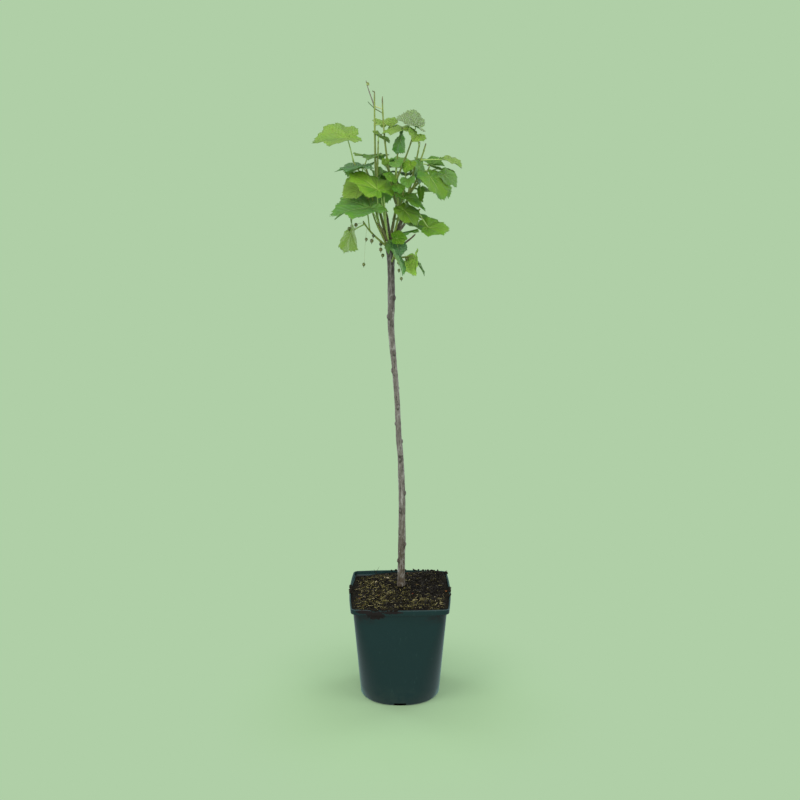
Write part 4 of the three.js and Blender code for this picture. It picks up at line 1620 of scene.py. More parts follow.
MASSES = (
    Mass("mass_top_left", "bough_left", 11, Slot.FRESH, push=(-2, 0, 8), canes=(
        Cane(0, (-42.2, 6, 1084), first=247, turn=162, at=(0.382, 0.705), rise=(47, -2), stalk=(10, 29),
            twist=(0, 60), droop=(4, -24), roll=(5, -3), blade=(22, 29), fold=(0.25, 0.28),
            greens=(Green.MID, Green.LIGHT), bare=True),
        Cane(0.86, (-56, 6, 1101), first=351, at=0.86, rise=3, stalk=1, twist=-151, droop=-70, blade=5,
            fold=0.9, greens=(Green.BRACT,), tint="#6b665a", girth=0.6),
        Cane(0.04, (-36, -10, 1006), first=225, at=0.98, rise=88, stalk=8, twist=165, droop=22, roll=14,
            blade=24, fold=0.33, greens=(Green.OLIVE,), bare=True),
        Cane(0.03, (-78, 2, 970), first=276, turn=-63, at=(0.62, 1), rise=(40, 74), stalk=(23, 41),
            twist=(-89, -23), droop=(0, -1), roll=(-4, -18), blade=(46, 58), fold=(0.13, 0.22),
            greens=(Green.BLUE, Green.LIGHT)),
        Cane(0.99, (-46, 6, 1084.6), tint="#4f5a3a", girth=0.5),
        Cane(0.85, (-53, 4, 1067), age=-0.3, tint="#56704a", girth=0.5),
        Cane(0.87, (-30, 12.8, 1054.5), age=-0.3, tint="#b5b878", girth=0.5),
        Cane(0.85, (-30, 12.8, 1048), age=-0.3, tint="#5a6640", girth=0.5),
    )),
    Mass("mass_left_front", "bough_left_low", 13, Slot.BLUE, canes=(
        Cane(0, (-52, -22, 936), first=271, turn=-25, at=(0.1, 0.02), rise=(52, 44), stalk=(70, 45),
            twist=(-124, -52), droop=(-35, 1), roll=(-1, -13), blade=(58, 66), fold=(0.03, 0.14),
            greens=(Green.BRIGHT, Green.MID)),
        Cane(0.3, (-70, -10, 936), first=253, at=0.8, rise=18, stalk=8, twist=-47, droop=20, roll=-28,
            blade=32, fold=0.19, greens=(Green.PALE,)),
    )),
    Mass("mass_left_low", "trunk_head", 14, Slot.LIGHT, push=(-6, 0, 0), canes=(
        Cane(0, (-62, -12, 872), first=211, turn=-107, at=(0.9, 0.7), rise=(-21, 60), stalk=(27, 51),
            twist=(65, 36), droop=(32, 48), roll=(74, 0), blade=(44, 31), fold=(0.4, 0.16),
            greens=(Green.LIGHT, Green.MID)),
        Cane(0.03, (-31, -22, 912), age=-0.3, tint="#93b25c"),
        Cane(0.08, (-27, -20, 914), age=-0.3, tint="#9ab867"),
        Cane(0.12, (-46, -14, 886), age=0.0),
    ), strigs=(
        Strig(0, 0.95, 184, 25, 9, 3),
        Strig(0, 0.8, 215, 6, 62, 2),
        Strig(0, 0.62, 300, 3, 12, 2),
        Strig(0, 0.42, 330, 8, 27, 3),
    )),
    Mass("mass_top_middle", "bough_middle", 15, Slot.MID, push=(-10, 0, 8), canes=(
        Cane(0, (-29.3, 13, 1075), bare=True),
        Cane(0.1, (-2, 8, 1010), first=282, turn=35, at=(0.8, 0.98), rise=(47, 59), stalk=(26, 17),
            twist=(-2, -134), droop=(40, 4), roll=(70, -6), blade=(28, 36), fold=(0.24, 0.09),
            greens=(Green.DARK, Green.LIGHT)),
        Cane(0.15, (22, 6, 1014), first=47, rise=56, stalk=14, twist=151, droop=-26, roll=-34, blade=37,
            fold=0.54, greens=(Green.GREY,)),
        Cane(0.3, (-22, -10, 966), first=258, rise=29, stalk=16, twist=61, droop=82, roll=28, blade=10,
            fold=0.26, greens=(Green.LIGHT,)),
    )),
    Mass("mass_right_top", "bough_right", 16, Slot.FRESH, canes=(
        Cane(0, (33, 0, 1002), first=249, turn=136, at=(0.95, 0.7), rise=(54, -8), stalk=(22, 30),
            twist=(9, -17), droop=(14, -3), roll=(-33, 25), blade=(24, 22), fold=(0.38, 0.8),
            greens=(Green.LIGHT, Green.MID), bare=True),
        Cane(0.35, (43, -6, 1000), first=353, turn=19, at=(0.66, 0.46), rise=(2, -10), stalk=(44, 48),
            twist=(-16, -31), droop=(17, 35), roll=(1, 17), blade=(28, 29), fold=(0.19, 0.09),
            greens=(Green.PALE, Green.MID), bare=True),
        Cane(0.3, (40, -14, 946), first=317, at=0.86, rise=16, stalk=18, twist=4, droop=42, blade=45,
            fold=0.06, greens=(Green.VIVID,)),
        Cane(0.5, (31, -8, 952), first=275, turn=26, at=(1, 0.55), rise=(62, -51), stalk=(13, 28),
            twist=(27, -68), droop=(74, 83), roll=(-32, 32), blade=(29, 20), fold=(0.05, 0.06),
            greens=(Green.MID, Green.FRESH)),
    )),
    Mass("mass_centre", "trunk_head", 17, Slot.DEEP, push=(2, -14, 0), canes=(
        Cane(0, (10, -18, 952), first=293, turn=-6, at=(1, 0.82), rise=(45, 37), stalk=(25, 28),
            twist=(-68, -16), droop=(40, 27), roll=(-6, 10), blade=(18, 19), fold=(0.05, 0.49),
            greens=(Green.BRIGHT, Green.MID)),
        Cane(0.55, (-6, -26, 954), first=237, turn=-31, at=(1, 0.7), rise=(75, 51), stalk=(18, 24),
            twist=(63, 118), droop=(18, 35), roll=(24, 2), blade=(16, 19), fold=(0.05, 0.06),
            greens=(Green.MID, Green.DEEP)),
        Cane(0.5, (-4, -30, 922), first=274, rise=61, stalk=12, twist=21, droop=34, roll=15, blade=15,
            fold=0.06, greens=(Green.DEEP,)),
    )),
    Mass("mass_right_low", "bough_right_low", 18, Slot.FRESH, canes=(
        Cane(0, (34, -12, 892), first=232, turn=123, at=(0.35, 0.8), rise=(64, -59), stalk=(37, 32),
            twist=(121, 16), droop=(20, -2), roll=(7, 26), blade=(41, 37), fold=(0.17, 0.06),
            greens=(Green.DEEP, Green.SPRING)),
        Cane(0.12, (4, -20, 884), first=277, at=0.9, rise=37, stalk=18, twist=55, droop=37, roll=13,
            blade=34, fold=0.05, greens=(Green.VIVID,)),
    )),
    Mass("mass_low_front", "trunk_side", 19, Slot.BLUE, push=(0, 0, 0), canes=(
        Cane(0, (0, -14, 834), first=245, turn=29, at=(0.85, 0.2), rise=(51, 32), stalk=(21, 19),
            twist=(118, -2), droop=(-4, 14), roll=(43, -66), blade=(20, 36), fold=(0.16, 0.4),
            greens=(Green.FRESH, Green.BLUE)),
        Cane(0.3, (22, -8, 812), first=324, turn=58, at=(0.85, 1), rise=(-10, -57), stalk=(11, 20),
            twist=(-62, -23), droop=(48, 53), roll=(50, -3), blade=(32, 20), fold=(0.47, 0.21),
            greens=(Green.LEMON, Green.DARK)),
        Cane(0.8, (26, -6, 849), age=0.9),
        Cane(0.6, (-6, -12, 836), first=287, turn=-54, at=(1, 0.7), rise=(-33, 21), stalk=(7, 12),
            twist=(0, -16), droop=(45, 55), roll=(-7, 9), blade=(21, 18), fold=(0.35, 0.39),
            greens=(Green.BLUE, Green.MID)),
        Cane(0.02, (-10, -25, 817), first=300, rise=-40, stalk=5, twist=26, droop=48, roll=-30, blade=33,
            fold=0.35, greens=(Green.HAZY,)),
    ), strigs=(
        Strig(0, 0.45, 325, 12, 38, 3),
        Strig(1, 0.9, 340, 6, 16, 3),
        Strig(0, 0.7, 20, 16, 14, 2),
    )),
    Mass("mass_back_left", "bough_back", 20, Slot.MID, canes=(
        Cane(0, (-48, 53, 920), leaves=5, first=174, turn=-47, at=(0.45, 1), rise=(-10, 55), stalk=(39, 23),
            droop=(21, 46), blade=(46, 53), greens=(Green.MID, Green.FRESH, Green.DEEP)),
        Cane(0.55, (-60, 53, 959), leaves=3, first=210, turn=-76, at=(0.5, 1), rise=(20, 57),
            stalk=(24, 17), droop=(30, 1), blade=(37, 41), greens=(Green.LIGHT, Green.MID)),
    )),
    Mass("mass_back_right", "bough_back_right", 21, Slot.MID, canes=(
        Cane(0, (32, 49, 946), leaves=5, first=33, turn=38, at=(0.4, 1), rise=(8, 52), stalk=(35, 20),
            droop=(3, -15), blade=(41, 43), greens=(Green.FRESH, Green.DEEP, Green.MID)),
        Cane(0.5, (50, 50, 955), leaves=3, first=-32, turn=60, at=(0.6, 1), rise=(-7, 37), stalk=(28, 17),
            droop=(36, -7), blade=(36, 35), greens=(Green.MID, Green.LIGHT)),
    )),
    Mass("mass_back_low", "trunk_head", 22, Slot.DEEP, push=(0, 10, -4), canes=(
        Cane(0, (-2, 62, 875), leaves=3, first=77, turn=-29, at=(0.66, 1), rise=(-31, -1), stalk=(26, 24),
            droop=(5, 22), blade=(44, 45), greens=(Green.DEEP, Green.MID)),
    )),
)


@dataclass(frozen=True)
class Leaf:
    """One leaf: where its stalk leaves the cane and joins the blade, and how the blade lies."""

    node: Vector
    joint: Vector
    azimuth: float
    droop: float
    roll: float
    blade: float
    fold: float
    green: Green

    def frame(self) -> tuple[Vector, Vector, Vector]:
        """Works out the directions of the blade.

        Returns:
            The directions along the midrib, across it, and up from the upper face.
        """
        turn, droop, roll = (math.radians(v) for v in (self.azimuth, self.droop, self.roll))
        along = heading(turn, -droop)
        level = polar(turn + math.pi / 2, 1)
        across = level * math.cos(roll) + along.cross(level) * math.sin(roll)
        return along, across, along.cross(across)


class BladePattern:
    """The flat pattern of every blade: its grid, teeth and vein lines, for a blade one unit long."""

    LOBES = (
        (0, 1), (12, 0.95), (24, 0.87), (36, 0.85), (48, 0.885), (60, 0.83),
        (75, 0.75), (92, 0.71), (108, 0.65), (126, 0.55), (145, 0.42), (165, 0.24), (180, 0.07),
    )
    VEINS = (0, 48, 98, 140)
    SHARES = (0.1, 0.22, 0.36, 0.5, 0.64, 0.77, 0.88, 0.95, 1.0)
    STEP = 1.5
    TOOTH = 0.1
    TOOTH_STEP = 7.5
    TOOTH_FADE = 9
    TROUGH = 0.03
    PLEAT = 0.41
    LADDER = 0.8

    def __init__(self) -> None:
        """Works out the pattern once."""
        self.count = round(360 / self.STEP)
        angles = np.arange(self.count) * self.STEP
        outline = np.array([self.reach(min(angle, 360 - angle)) for angle in angles])
        tooth = 1 - (np.abs(angles - self.nearest_vein(angles)) / self.TOOTH_STEP) % 1
        tooth = (tooth - 0.45) * (0.8 + 0.45 * np.sin(angles * 0.31))
        shares = np.array((0,) + self.SHARES)[:, None]
        reach = outline * shares * (1 + self.TOOTH * tooth * shares**self.TOOTH_FADE)
        self.ahead = self.flat(reach * np.cos(np.radians(angles)))
        self.aside = self.flat(reach * np.sin(np.radians(angles)))
        self.share = self.flat(shares + 0 * angles)
        self.angle = self.flat(angles + 0 * shares)
        off = np.radians(self.angle - self.nearest_vein(self.angle))
        far = np.hypot(self.ahead, self.aside)
        trough = np.exp(-((far * np.sin(off) / self.TROUGH) ** 2)) * (np.cos(off) > 0)
        self.trough = trough * (1 - 0.75 * self.share) * np.minimum(self.share * 8, 1)
        self.pleat = np.minimum(np.abs(off) / self.PLEAT, 1) ** 2 * self.share
        self.make_faces()

    def flat(self, grid: np.ndarray) -> np.ndarray:
        """Lists a grid's values: the middle once, then ring by ring."""
        return np.concatenate([grid[0, :1], grid[1:].ravel()])

    def reach(self, angle: float) -> float:
        """Works out the outline's distance from the stalk, eased between the lobes' sizes.

        Args:
            angle: The angle from the midrib, in degrees.

        Returns:
            The distance.
        """
        i = 0
        while i < len(self.LOBES) - 2 and angle > self.LOBES[i + 1][0]:
            i += 1
        (a, low), (b, high) = self.LOBES[i : i + 2]
        return mix(low, high, ramp(angle, a, b))

    def nearest_vein(self, angles: np.ndarray | float) -> np.ndarray:
        """Gives the angle of the main vein nearest to each angle, all round the blade."""
        veins = np.array(self.VEINS + tuple(360 - v for v in self.VEINS))
        return veins[np.argmin(np.abs(np.asarray(angles)[..., None] - veins), axis=-1)]

    def make_faces(self) -> None:
        """Lists the faces of a closed blade and the vein lines at their corners."""
        count, rings = self.count, len(self.SHARES)
        top: Faces = []
        veins = []
        for ring in range(rings):
            for i in range(count):
                j = (i + 1) % count
                if ring == 0:
                    face = (0, 1 + i, 1 + j)
                else:
                    a, b = 1 + (ring - 1) * count, 1 + ring * count
                    face = (a + i, b + i, b + j, a + j)
                vein = math.radians(float(self.nearest_vein((i + 0.5) * self.STEP)))
                top.append(face)
                veins.append([self.vein_line(c, vein) for c in face])
        self.under_start = 1 + rings * count
        under = [tuple(c + self.under_start for c in reversed(face)) for face in top]
        last = 1 + (rings - 1) * count
        rim = []
        for i in range(count):
            a, b = last + i, last + (i + 1) % count
            rim.append((a, a + self.under_start, b + self.under_start, b))
        self.faces = top + under + rim
        self.veins = [pair for face in veins for pair in face]
        self.veins += [pair for face in veins for pair in reversed(face)]
        self.veins += [(0.0, 1.0)] * (4 * count)
        flat = [(float(a), float(b)) for a, b in zip(self.ahead, self.aside)]
        self.blades = [flat[c % self.under_start] for face in self.faces for c in face]

    def vein_line(self, corner: int, vein: float) -> Pair:
        """Finds a corner's place on the ladder of side veins.

        Args:
            corner: The corner's index.
            vein: The angle of its main vein, in radians.

        Returns:
            How far along the ladder it lies, and how far from the main vein.
        """
        a, b = float(self.ahead[corner]), float(self.aside[corner])
        along = a * math.cos(vein) + b * math.sin(vein)
        off = abs(b * math.cos(vein) - a * math.sin(vein))
        return (along - self.LADDER * off, off)


@dataclass
class Foliage:
    """The crown's masses: canes, stalks, toothed leaves and strings of fruit."""

    trunk: Trunk
    boughs: Boughs
    on_trunk: tuple[tuple[str, Triple], ...] = (("trunk_head", (-16, 0, 822)), ("trunk_side", (-15, 0, 798)))
    limb_foot: float = 700
    limb_step: float = 8
    margin: float = 1.0
    half_width: float = 128
    middle: float = -20
    half_depth: float = 116
    span: Pair = (765, 1104)
    jitter: tuple[float, ...] = (1, 1.5, 1, 0.015, 0.015, 2)
    curl: float = 0.18
    thick: float = 0.5
    thin: Pair = (0.55, 0.3)
    ripples: tuple[Quad, ...] = ((0.034, 5, 2.5, 1), (0.02, 13, 4, 2.3))
    trough: float = 0.02
    pleat: float = 0.045
    cup: float = 0.06
    uneven: float = 0.12
    stalk: Taper = Taper(1.15, 0.8, 0.5, 0.08)
    rib: Taper = Taper(0.75, 0.2)
    rib_shares: Triple = (0, 0.3, 0.62)
    rib_sink: float = 0.45
    cane: Pair = (2.0, 1.15)
    knots: Triple = (0.33, 0.62, 0.86)
    knot: Pair = (0.32, 0.018)
    bud: float = 4.2
    string: Taper = Taper(0.34, 0.22)
    pedicel: Taper = Taper(0.22, 0.22)
    tail: Taper = Taper(0.7, 0.35)
    berry: float = 2.9
    berry_side: float = 2.1
    berry_greens: tuple[str, ...] = ("#4f6428", "#5c6a30", "#3c5024", "#66683a")
    stalk_green: str = "#93b25c"
    rib_green: str = "#9ab05c"
    bud_brown: str = "#8a8a4a"
    string_green: str = "#a8b78c"

    def __post_init__(self) -> None:
        """Readies the pattern, the heaps and the limbs that leaves keep off."""
        self.pattern = BladePattern()
        self.leaves = {slot: Heap() for slot in (Slot.FRESH, Slot.LIGHT, Slot.MID, Slot.BLUE, Slot.DEEP)}
        self.canes = Heap()
        self.fruit = Heap()
        self.starts = {name: Vector(place) for name, place in self.on_trunk}
        self.limbs: list[tuple[Vector, float]] = []
        for z in np.arange(self.limb_foot, self.boughs.head[2], self.limb_step):
            self.limbs.append((Vector((self.trunk.at(z, 1), 0, z)), self.trunk.at(z, 2)))
        for name, path in self.boughs.paths().items():
            self.starts[name] = path.handles[-1] + Vector((0, 0, CLEAR))
            for i in range(7):
                self.limbs.append((path.at(i / 6), mix(self.boughs.foot, self.boughs.tip, i / 6)))

    def leaves_of(self, cane: Cane, path: Path, dice: Dice) -> list[Leaf]:
        """Deals out the leaves of one cane by its rule.

        Args:
            cane: The cane's sizes.
            path: The cane's own line.
            dice: The mass's run of numbers.

        Returns:
            The leaves, from first to last.
        """
        found = []
        for i, share in enumerate(cane.shares()):
            turn = cane.first + i * cane.turn + dice.spread(self.jitter[0])
            droop = run_at(cane.droop, share) + dice.spread(self.jitter[1])
            rise = math.radians(run_at(cane.rise, share) + dice.spread(self.jitter[2]))
            reach = run_at(cane.stalk, share) * (1 + dice.spread(self.jitter[3]))
            blade = run_at(cane.blade, share) * (1 + dice.spread(self.jitter[4]))
            roll = run_at(cane.roll, share) + dice.spread(self.jitter[5])
            node = path.at(run_at(cane.at, share))
            joint = node + heading(math.radians(turn), rise) * reach
            azimuth = turn + run_at(cane.twist, share)
            green = cane.greens[i % len(cane.greens)]
            found.append(Leaf(node, joint, azimuth, droop, roll, blade, run_at(cane.fold, share), green))
        return found

    def blade_places(self, leaf: Leaf, phase: float) -> np.ndarray:
        """Bends the flat pattern into a leaf's blade.

        Args:
            leaf: The leaf.
            phase: Where its margin's ripple starts.

        Returns:
            The places of the blade's middle sheet, one a row.
        """
        p = self.pattern
        along, across, up = (np.array(v) * leaf.blade for v in leaf.frame())
        fold = math.atan(leaf.fold)
        aside = np.abs(p.aside)
        rise = math.sin(fold) * aside - self.curl * np.maximum(p.ahead, 0) ** 2
        for size, waves, fade, shift in self.ripples:
            rise = rise + size * p.share**fade * np.sin(waves * np.radians(p.angle) + shift * phase)
        rise = rise - self.trough * p.trough + self.pleat * p.pleat - self.cup * aside**2
        flat = np.outer(p.ahead, along) + np.outer(p.aside * math.cos(fold), across)
        return np.array(leaf.joint) + flat + np.outer(rise, up)

    def keeps_clear(self, leaf: Leaf) -> bool:
        """Looks whether a leaf keeps inside the crown's space and off the stem and boughs.

        Args:
            leaf: The leaf.

        Returns:
            True if it does.
        """
        low, high = self.span
        for p in map(Vector, self.blade_places(leaf, 0.0)[-self.pattern.count :: 4]):
            if abs(p.x - self.middle) > self.half_width or abs(p.y) > self.half_depth or not low < p.z < high:
                return False
            if any((p - spot).length < radius + self.margin for spot, radius in self.limbs):
                return False
        return True

    def add_leaf(self, leaf: Leaf, heap: Heap, looks: Dice) -> None:
        """Adds a leaf's blade and stalk.

        Args:
            leaf: The leaf.
            heap: The heap that takes the blade.
            looks: The run of numbers for its ripple and shade.
        """
        p = self.pattern
        sheet = self.blade_places(leaf, looks.between(0, 6.28))
        thinning, thinnest = self.thin
        half = self.thick / 2 * np.maximum(1 - thinning * p.share, thinnest)
        half = np.outer(half, leaf.frame()[2])
        marks = np.zeros((2 * len(sheet), 3))
        marks[:, 0] = np.tile(p.share, 2)
        marks[p.under_start :, 1] = 1
        marks[:, 2] = min(max(leaf.green.ridge_sheen + looks.spread(self.uneven), 0), 1)
        shade = 1 + looks.spread(self.uneven)
        red, green, blue, _ = linear(leaf.green.code)
        tint = (red * shade, green * shade, blue * shade, 1.0)
        corners = {"veins": p.veins, "blade": p.blades}
        heap.add(np.concatenate([sheet + half, sheet - half]), p.faces, tint, marks, corners)
        self.add_stalk(leaf)

    def add_stalk(self, leaf: Leaf) -> None:
        """Adds a leaf's stalk, which runs on as the blade's midrib beneath.

        Args:
            leaf: The leaf.
        """
        way = leaf.joint - leaf.node
        along, _, up = leaf.frame()
        foot = leaf.node - way.normalized() * 0.8
        arch = leaf.node.lerp(leaf.joint, 0.5) + Vector((0, 0, 0.05 * way.length))
        head = leaf.joint + along * 2.4 - up * self.thick
        path = Path(foot, arch, leaf.joint - up * 0.3, head)
        self.canes.add_shoot(path, 10, 8, self.stalk, self.stalk_green, 0.05)
        rib = []
        for share in self.rib_shares:
            sink = self.curl * share * share * leaf.blade + self.rib_sink
            rib.append(leaf.joint + along * leaf.blade * share - up * sink)
        rib[1] += up * self.curl * 0.045 * leaf.blade
        self.canes.add_shoot(Path(*rib), 6, 6, self.rib, self.rib_green)

    def add_bud(self, place: Vector, way: Vector, age: float) -> None:
        """Adds a pointed bud.

        Args:
            place: Where it sits.
            way: Which way it points.
            age: How brown it is.
        """
        size = self.bud

        def girth(share: float) -> float:
            """Swells the bud above its foot and closes it at its tip."""
            return 0.33 * size * math.sqrt(max(1 - share, 0.02)) * (0.55 + 0.9 * share)

        path = Path(place - way * 0.2 * size, place + way * 0.4 * size, place + way * size)
        self.canes.add_shoot(path, 6, 7, girth, self.bud_brown, age)

    def add_strig(self, strig: Strig, path: Path, looks: Dice) -> None:
        """Adds a hanging string of fruit.

        Args:
            strig: Its sizes.
            path: The line of the cane that it hangs from.
            looks: The run of numbers for its berries' sizes and shades.
        """
        start = path.at(strig.at)
        turn = math.radians(strig.azimuth)
        bend = start + polar(turn, strig.reach * 0.8, -strig.drop * 0.3)
        string = Path(start, bend, start + polar(turn, strig.reach, -strig.drop))
        self.canes.add_shoot(string, 12, 6, self.string, self.string_green)
        for i in range(strig.berries):
            hang = string.at(mix(0.4, 1, i / (strig.berries - 1) if strig.berries > 1 else 1))
            side = -self.berry_side if i % 2 else self.berry_side
            self.add_berry(hang + polar(turn + math.pi / 2, side, -0.6), hang, looks)

    def add_berry(self, place: Vector, hang: Vector, looks: Dice) -> None:
        """Adds a berry with its short stalk and dry end.

        Args:
            place: Its middle.
            hang: Where its stalk leaves the string.
            looks: The run of numbers for its size and shade.
        """
        size = self.berry * (1 + looks.spread(self.uneven))
        tint = looks.pick(self.berry_greens)
        levels = 9
        rings = []
        for k in range(levels + 1):
            tilt = math.pi * (0.04 + 0.92 * k / levels)
            reach, z = size * math.sin(tilt), -size * math.cos(tilt) * 1.05
            rings.append([place + polar(angle, reach, z) for angle in spokes(12)])
        self.fruit.add_rings(rings, linear(tint))
        up = Vector((0, 0, size * 0.9))
        low = place - up
        tail = Path(low, low - Vector((0, 0, size * 0.4)), low - Vector((0.2, 0.1, size * 0.85)))
        self.fruit.add_shoot(tail, 3, 6, self.tail, tint, 1)
        top = place + up
        pedicel = Path(hang, hang.lerp(top, 0.5) + Vector((0, 0, 0.8)), top)
        self.canes.add_shoot(pedicel, 4, 5, self.pedicel, self.string_green)

    def age_at(self, cane: Cane, share: float) -> float:
        """Gives how brown a cane is: most at its foot, and again at a bare tip."""
        tip = 0.5 * ramp(share, 0.86, 1) if cane.bare else 0.0
        return cane.age + 0.35 * math.exp(-((share / 0.15) ** 2)) + tip

    def add_cane(self, cane: Cane, path: Path, main: bool) -> None:
        """Adds a cane's own skin, with a swelling at each leaf.

        Args:
            cane: The cane's sizes.
            path: Its line.
            main: Whether it is its mass's stem, which starts as thick as its bough's tip.
        """
        foot, tip = self.cane
        body = Taper(self.boughs.tip if main else foot * cane.girth, tip * cane.girth)
        joints = [run_at(cane.at, share) for share in cane.shares()]
        size, width = self.knot

        def girth(share: float) -> float:
            """Tapers the cane, swells it at its joints and closes it at its tip."""
            knots = sum(math.exp(-(((share - k) / width) ** 2)) for k in (*joints, *self.knots))
            return body(share) + (size * knots - 0.5 * ramp(share, 0.97, 1)) * cane.girth

        steps, sides = 60, 10
        rings = rings_along(path, steps, sides, girth, level_foot=main)
        ages = [(self.age_at(cane, r / steps), 0, 0) for r in range(steps + 1) for _ in range(sides)]
        self.canes.add_rings(rings, linear(cane.tint), np.array(ages))

    def grow(self, mass: Mass) -> int:
        """Grows one mass by its rule.

        Args:
            mass: The mass.

        Returns:
            How many leaves it has.
        """
        dice, looks = Dice(mass.seed), Dice(mass.seed + 400)
        paths: list[Path] = []
        grown = 0
        for cane in mass.canes:
            main = not paths
            start = self.starts[mass.on] if main else paths[0].at(cane.root)
            path = self.boughs.shoot(start, Vector(cane.tip), Vector(mass.push) if main else Vector())
            paths.append(path)
            self.add_cane(cane, path, main)
            for leaf in self.leaves_of(cane, path, dice):
                if self.keeps_clear(leaf):
                    self.add_leaf(leaf, self.leaves[mass.slot], looks)
                    way = ((leaf.joint - leaf.node).normalized() + Vector((0, 0, 0.8))).normalized()
                    self.add_bud(leaf.node, way, cane.age)
                    grown += 1
        for strig in mass.strigs:
            self.add_strig(strig, paths[strig.cane], looks)
        return grown

    def build(self) -> list[tuple[Piece, list[str], Slot | None]]:
        """Grows every mass and gathers leaves, canes and fruit.

        Returns:
            Each piece, with the masses that it stands for and the slot that its leaves were gathered by, or
            None.
        """
        for mass in MASSES:
            LOG.info("%s: %d leaves", mass.name, self.grow(mass))
        skin = LeafSkin().make()
        made = []
        for slot, heap in self.leaves.items():
            piece = heap.build("leaves_" + slot.name.lower())
            piece.data.materials.append(skin)
            made.append((piece, [m.name for m in MASSES if m.slot is slot], slot))
        for name, heap, finish in (("canes", self.canes, CaneSkin()), ("fruit", self.fruit, BerrySkin())):
            piece = heap.build(name)
            piece.data.materials.append(finish.make())
            made.append((piece, [m.name for m in MASSES], None))
        return made


@dataclass(frozen=True)
class Lamp:
    """A soft area light: its place, the height that it points at, its size in metres and its watts."""

    name: str
    place: Triple
    aim: float
    size: Pair
    power: float
    colour: str = "#ffffff"

    def hang(self) -> None:
        """Adds the light to the scene, hidden from the camera."""
        light = bpy.data.lights.new(self.name, "AREA")
        light.shape = "RECTANGLE"
        light.size, light.size_y = self.size
        light.energy = self.power
        light.color = linear(self.colour)[:3]
        lamp = bpy.data.objects.new(self.name, light)
        lamp.location = self.place
        lamp.visible_camera = False
        way = Vector((0, 0, self.aim)) - Vector(self.place)
        lamp.rotation_euler = way.to_track_quat("-Z", "Y").to_euler()
        bpy.context.scene.collection.objects.link(lamp)


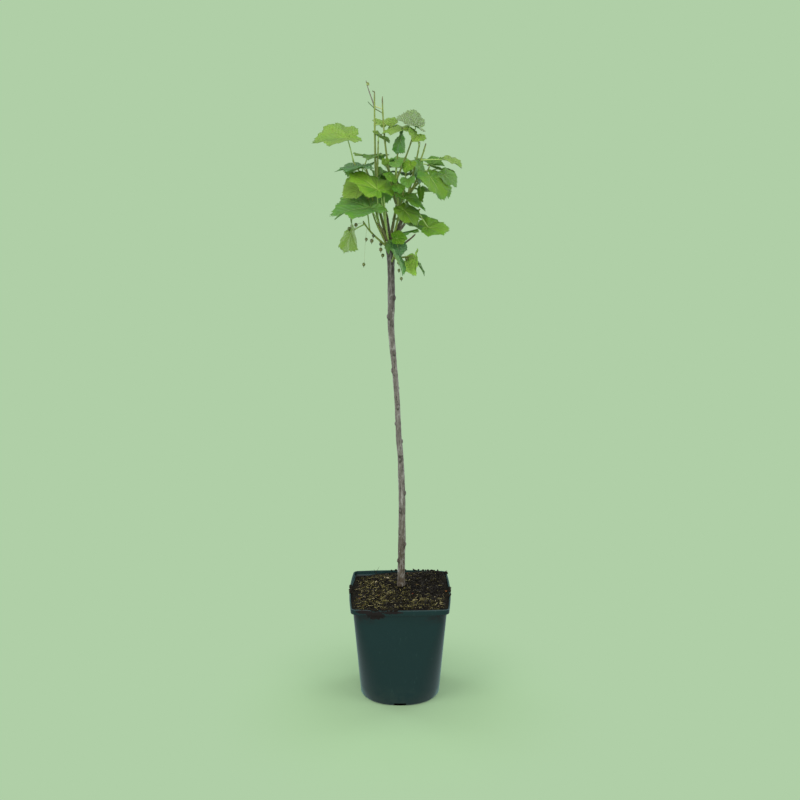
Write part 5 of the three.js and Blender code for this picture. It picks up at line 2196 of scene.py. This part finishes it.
@dataclass
class Studio:
    """Paper sweep, soft lights and the camera, in metres and degrees."""

    lens: float = 58.5
    camera: Triple = (0.0, -2.198, 1.169)
    pitch: float = 15.58
    air: str = "#f2f3f6"
    air_strength: float = 0.6
    paper_half: float = 9.0
    paper_reach: Pair = (-6.0, 4.2)
    paper_high: float = 3.4
    paper_sink: float = 0.0004
    sweep: float = 1.6
    lamps: tuple[Lamp, ...] = (
        Lamp("key_left", (-1.5, -1.3, 2.1), 0.7, (1.4, 1.6), 29),
        Lamp("key_right", (1.6, -1.1, 1.9), 0.6, (1.4, 1.6), 18, "#f6fbff"),
        Lamp("rim_left", (-1.5, 0.95, 0.55), 0.3, (0.8, 1.6), 20, "#e6f0ff"),
        Lamp("rim_right", (1.5, 0.95, 0.55), 0.3, (0.8, 1.6), 20, "#e2ecff"),
        Lamp("top", (0, 0.1, 3.0), 0.8, (2.6, 2.6), 30),
        Lamp("front", (0.2, -2.6, 1.5), 0.7, (1.6, 1.4), 24),
    )

    def hang_paper(self) -> Piece:
        """Lays the floor and sweeps it up behind.

        Returns:
            The paper.
        """
        start_clean()
        front, back = self.paper_reach
        bpy.ops.mesh.primitive_plane_add(size=2, location=(0, 0, -self.paper_sink))
        piece = bpy.context.object
        piece.name = "studio_paper"
        for vertex in piece.data.vertices:
            vertex.co = Vector((vertex.co.x * self.paper_half, back if vertex.co.y > 0 else front, 0))
        bpy.ops.object.transform_apply(location=True)
        bpy.ops.object.mode_set(mode="EDIT")
        bpy.ops.mesh.select_all(action="DESELECT")
        drawn = bmesh.from_edit_mesh(piece.data)
        for edge in drawn.edges:
            edge.select_set(all(v.co.y > 0 for v in edge.verts))
        bmesh.update_edit_mesh(piece.data)
        bpy.ops.mesh.extrude_region_move(TRANSFORM_OT_translate={"value": (0, 0, self.paper_high)})
        bpy.ops.object.mode_set(mode="OBJECT")
        use_modifier(piece, "BEVEL", width=self.sweep, segments=16, limit_method="ANGLE")
        smooth(piece, 60)
        piece.data.materials.append(Backdrop().make())
        piece.visible_glossy = False
        return piece

    def build(self) -> Piece:
        """Sets up the whole studio.

        Returns:
            The paper, which isn't part of the object.
        """
        scene = bpy.context.scene
        scene.view_settings.view_transform = "Standard"
        world = bpy.data.worlds.new("studio_air")
        world.use_nodes = True
        air = world.node_tree.nodes["Background"]
        air.inputs["Color"].default_value = linear(self.air)
        air.inputs["Strength"].default_value = self.air_strength
        scene.world = world
        data = bpy.data.cameras.new("photograph")
        data.lens = self.lens
        data.sensor_width = 36
        data.clip_end = 50
        eye = bpy.data.objects.new("photograph", data)
        eye.location = self.camera
        eye.rotation_euler = (math.radians(90 - self.pitch), 0, 0)
        scene.collection.objects.link(eye)
        scene.camera = eye
        for lamp in self.lamps:
            lamp.hang()
        return self.hang_paper()


def seat(piece: Piece, nodes: Sequence[str], slot: Slot | None) -> None:
    """Fixes a piece to the object's one body.

    Args:
        piece: The finished piece.
        nodes: The solids that it stands for.
        slot: Not used.
    """
    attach(piece, "root")
    if nodes:
        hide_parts(*nodes)
    piece.data.calc_loop_triangles()
    count = len(piece.data.loop_triangles)
    LOG.info("%s: %d triangles, for %s", piece.name, count, ", ".join(nodes) or "itself")


def main() -> None:
    """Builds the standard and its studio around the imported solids."""
    logging.basicConfig(level=logging.INFO, format="%(message)s")
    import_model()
    Studio().build()
    pot = Pot()
    soil = Soil(pot)
    seat(pot.build(), ["pot"], Slot.POT)
    seat(soil.build(), ["soil"], Slot.COMPOST)
    seat(Debris(soil).build(), [], Slot.COMPOST)
    trunk = Trunk()
    boughs = Boughs()
    seat(trunk.build(), ["trunk"], Slot.BARK)
    for name, piece in boughs.build().items():
        seat(piece, [name], Slot.BOUGH)
    for piece, nodes, slot in Foliage(trunk, boughs).build():
        seat(piece, nodes, slot)
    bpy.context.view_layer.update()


if __name__ == "__main__":
    main()
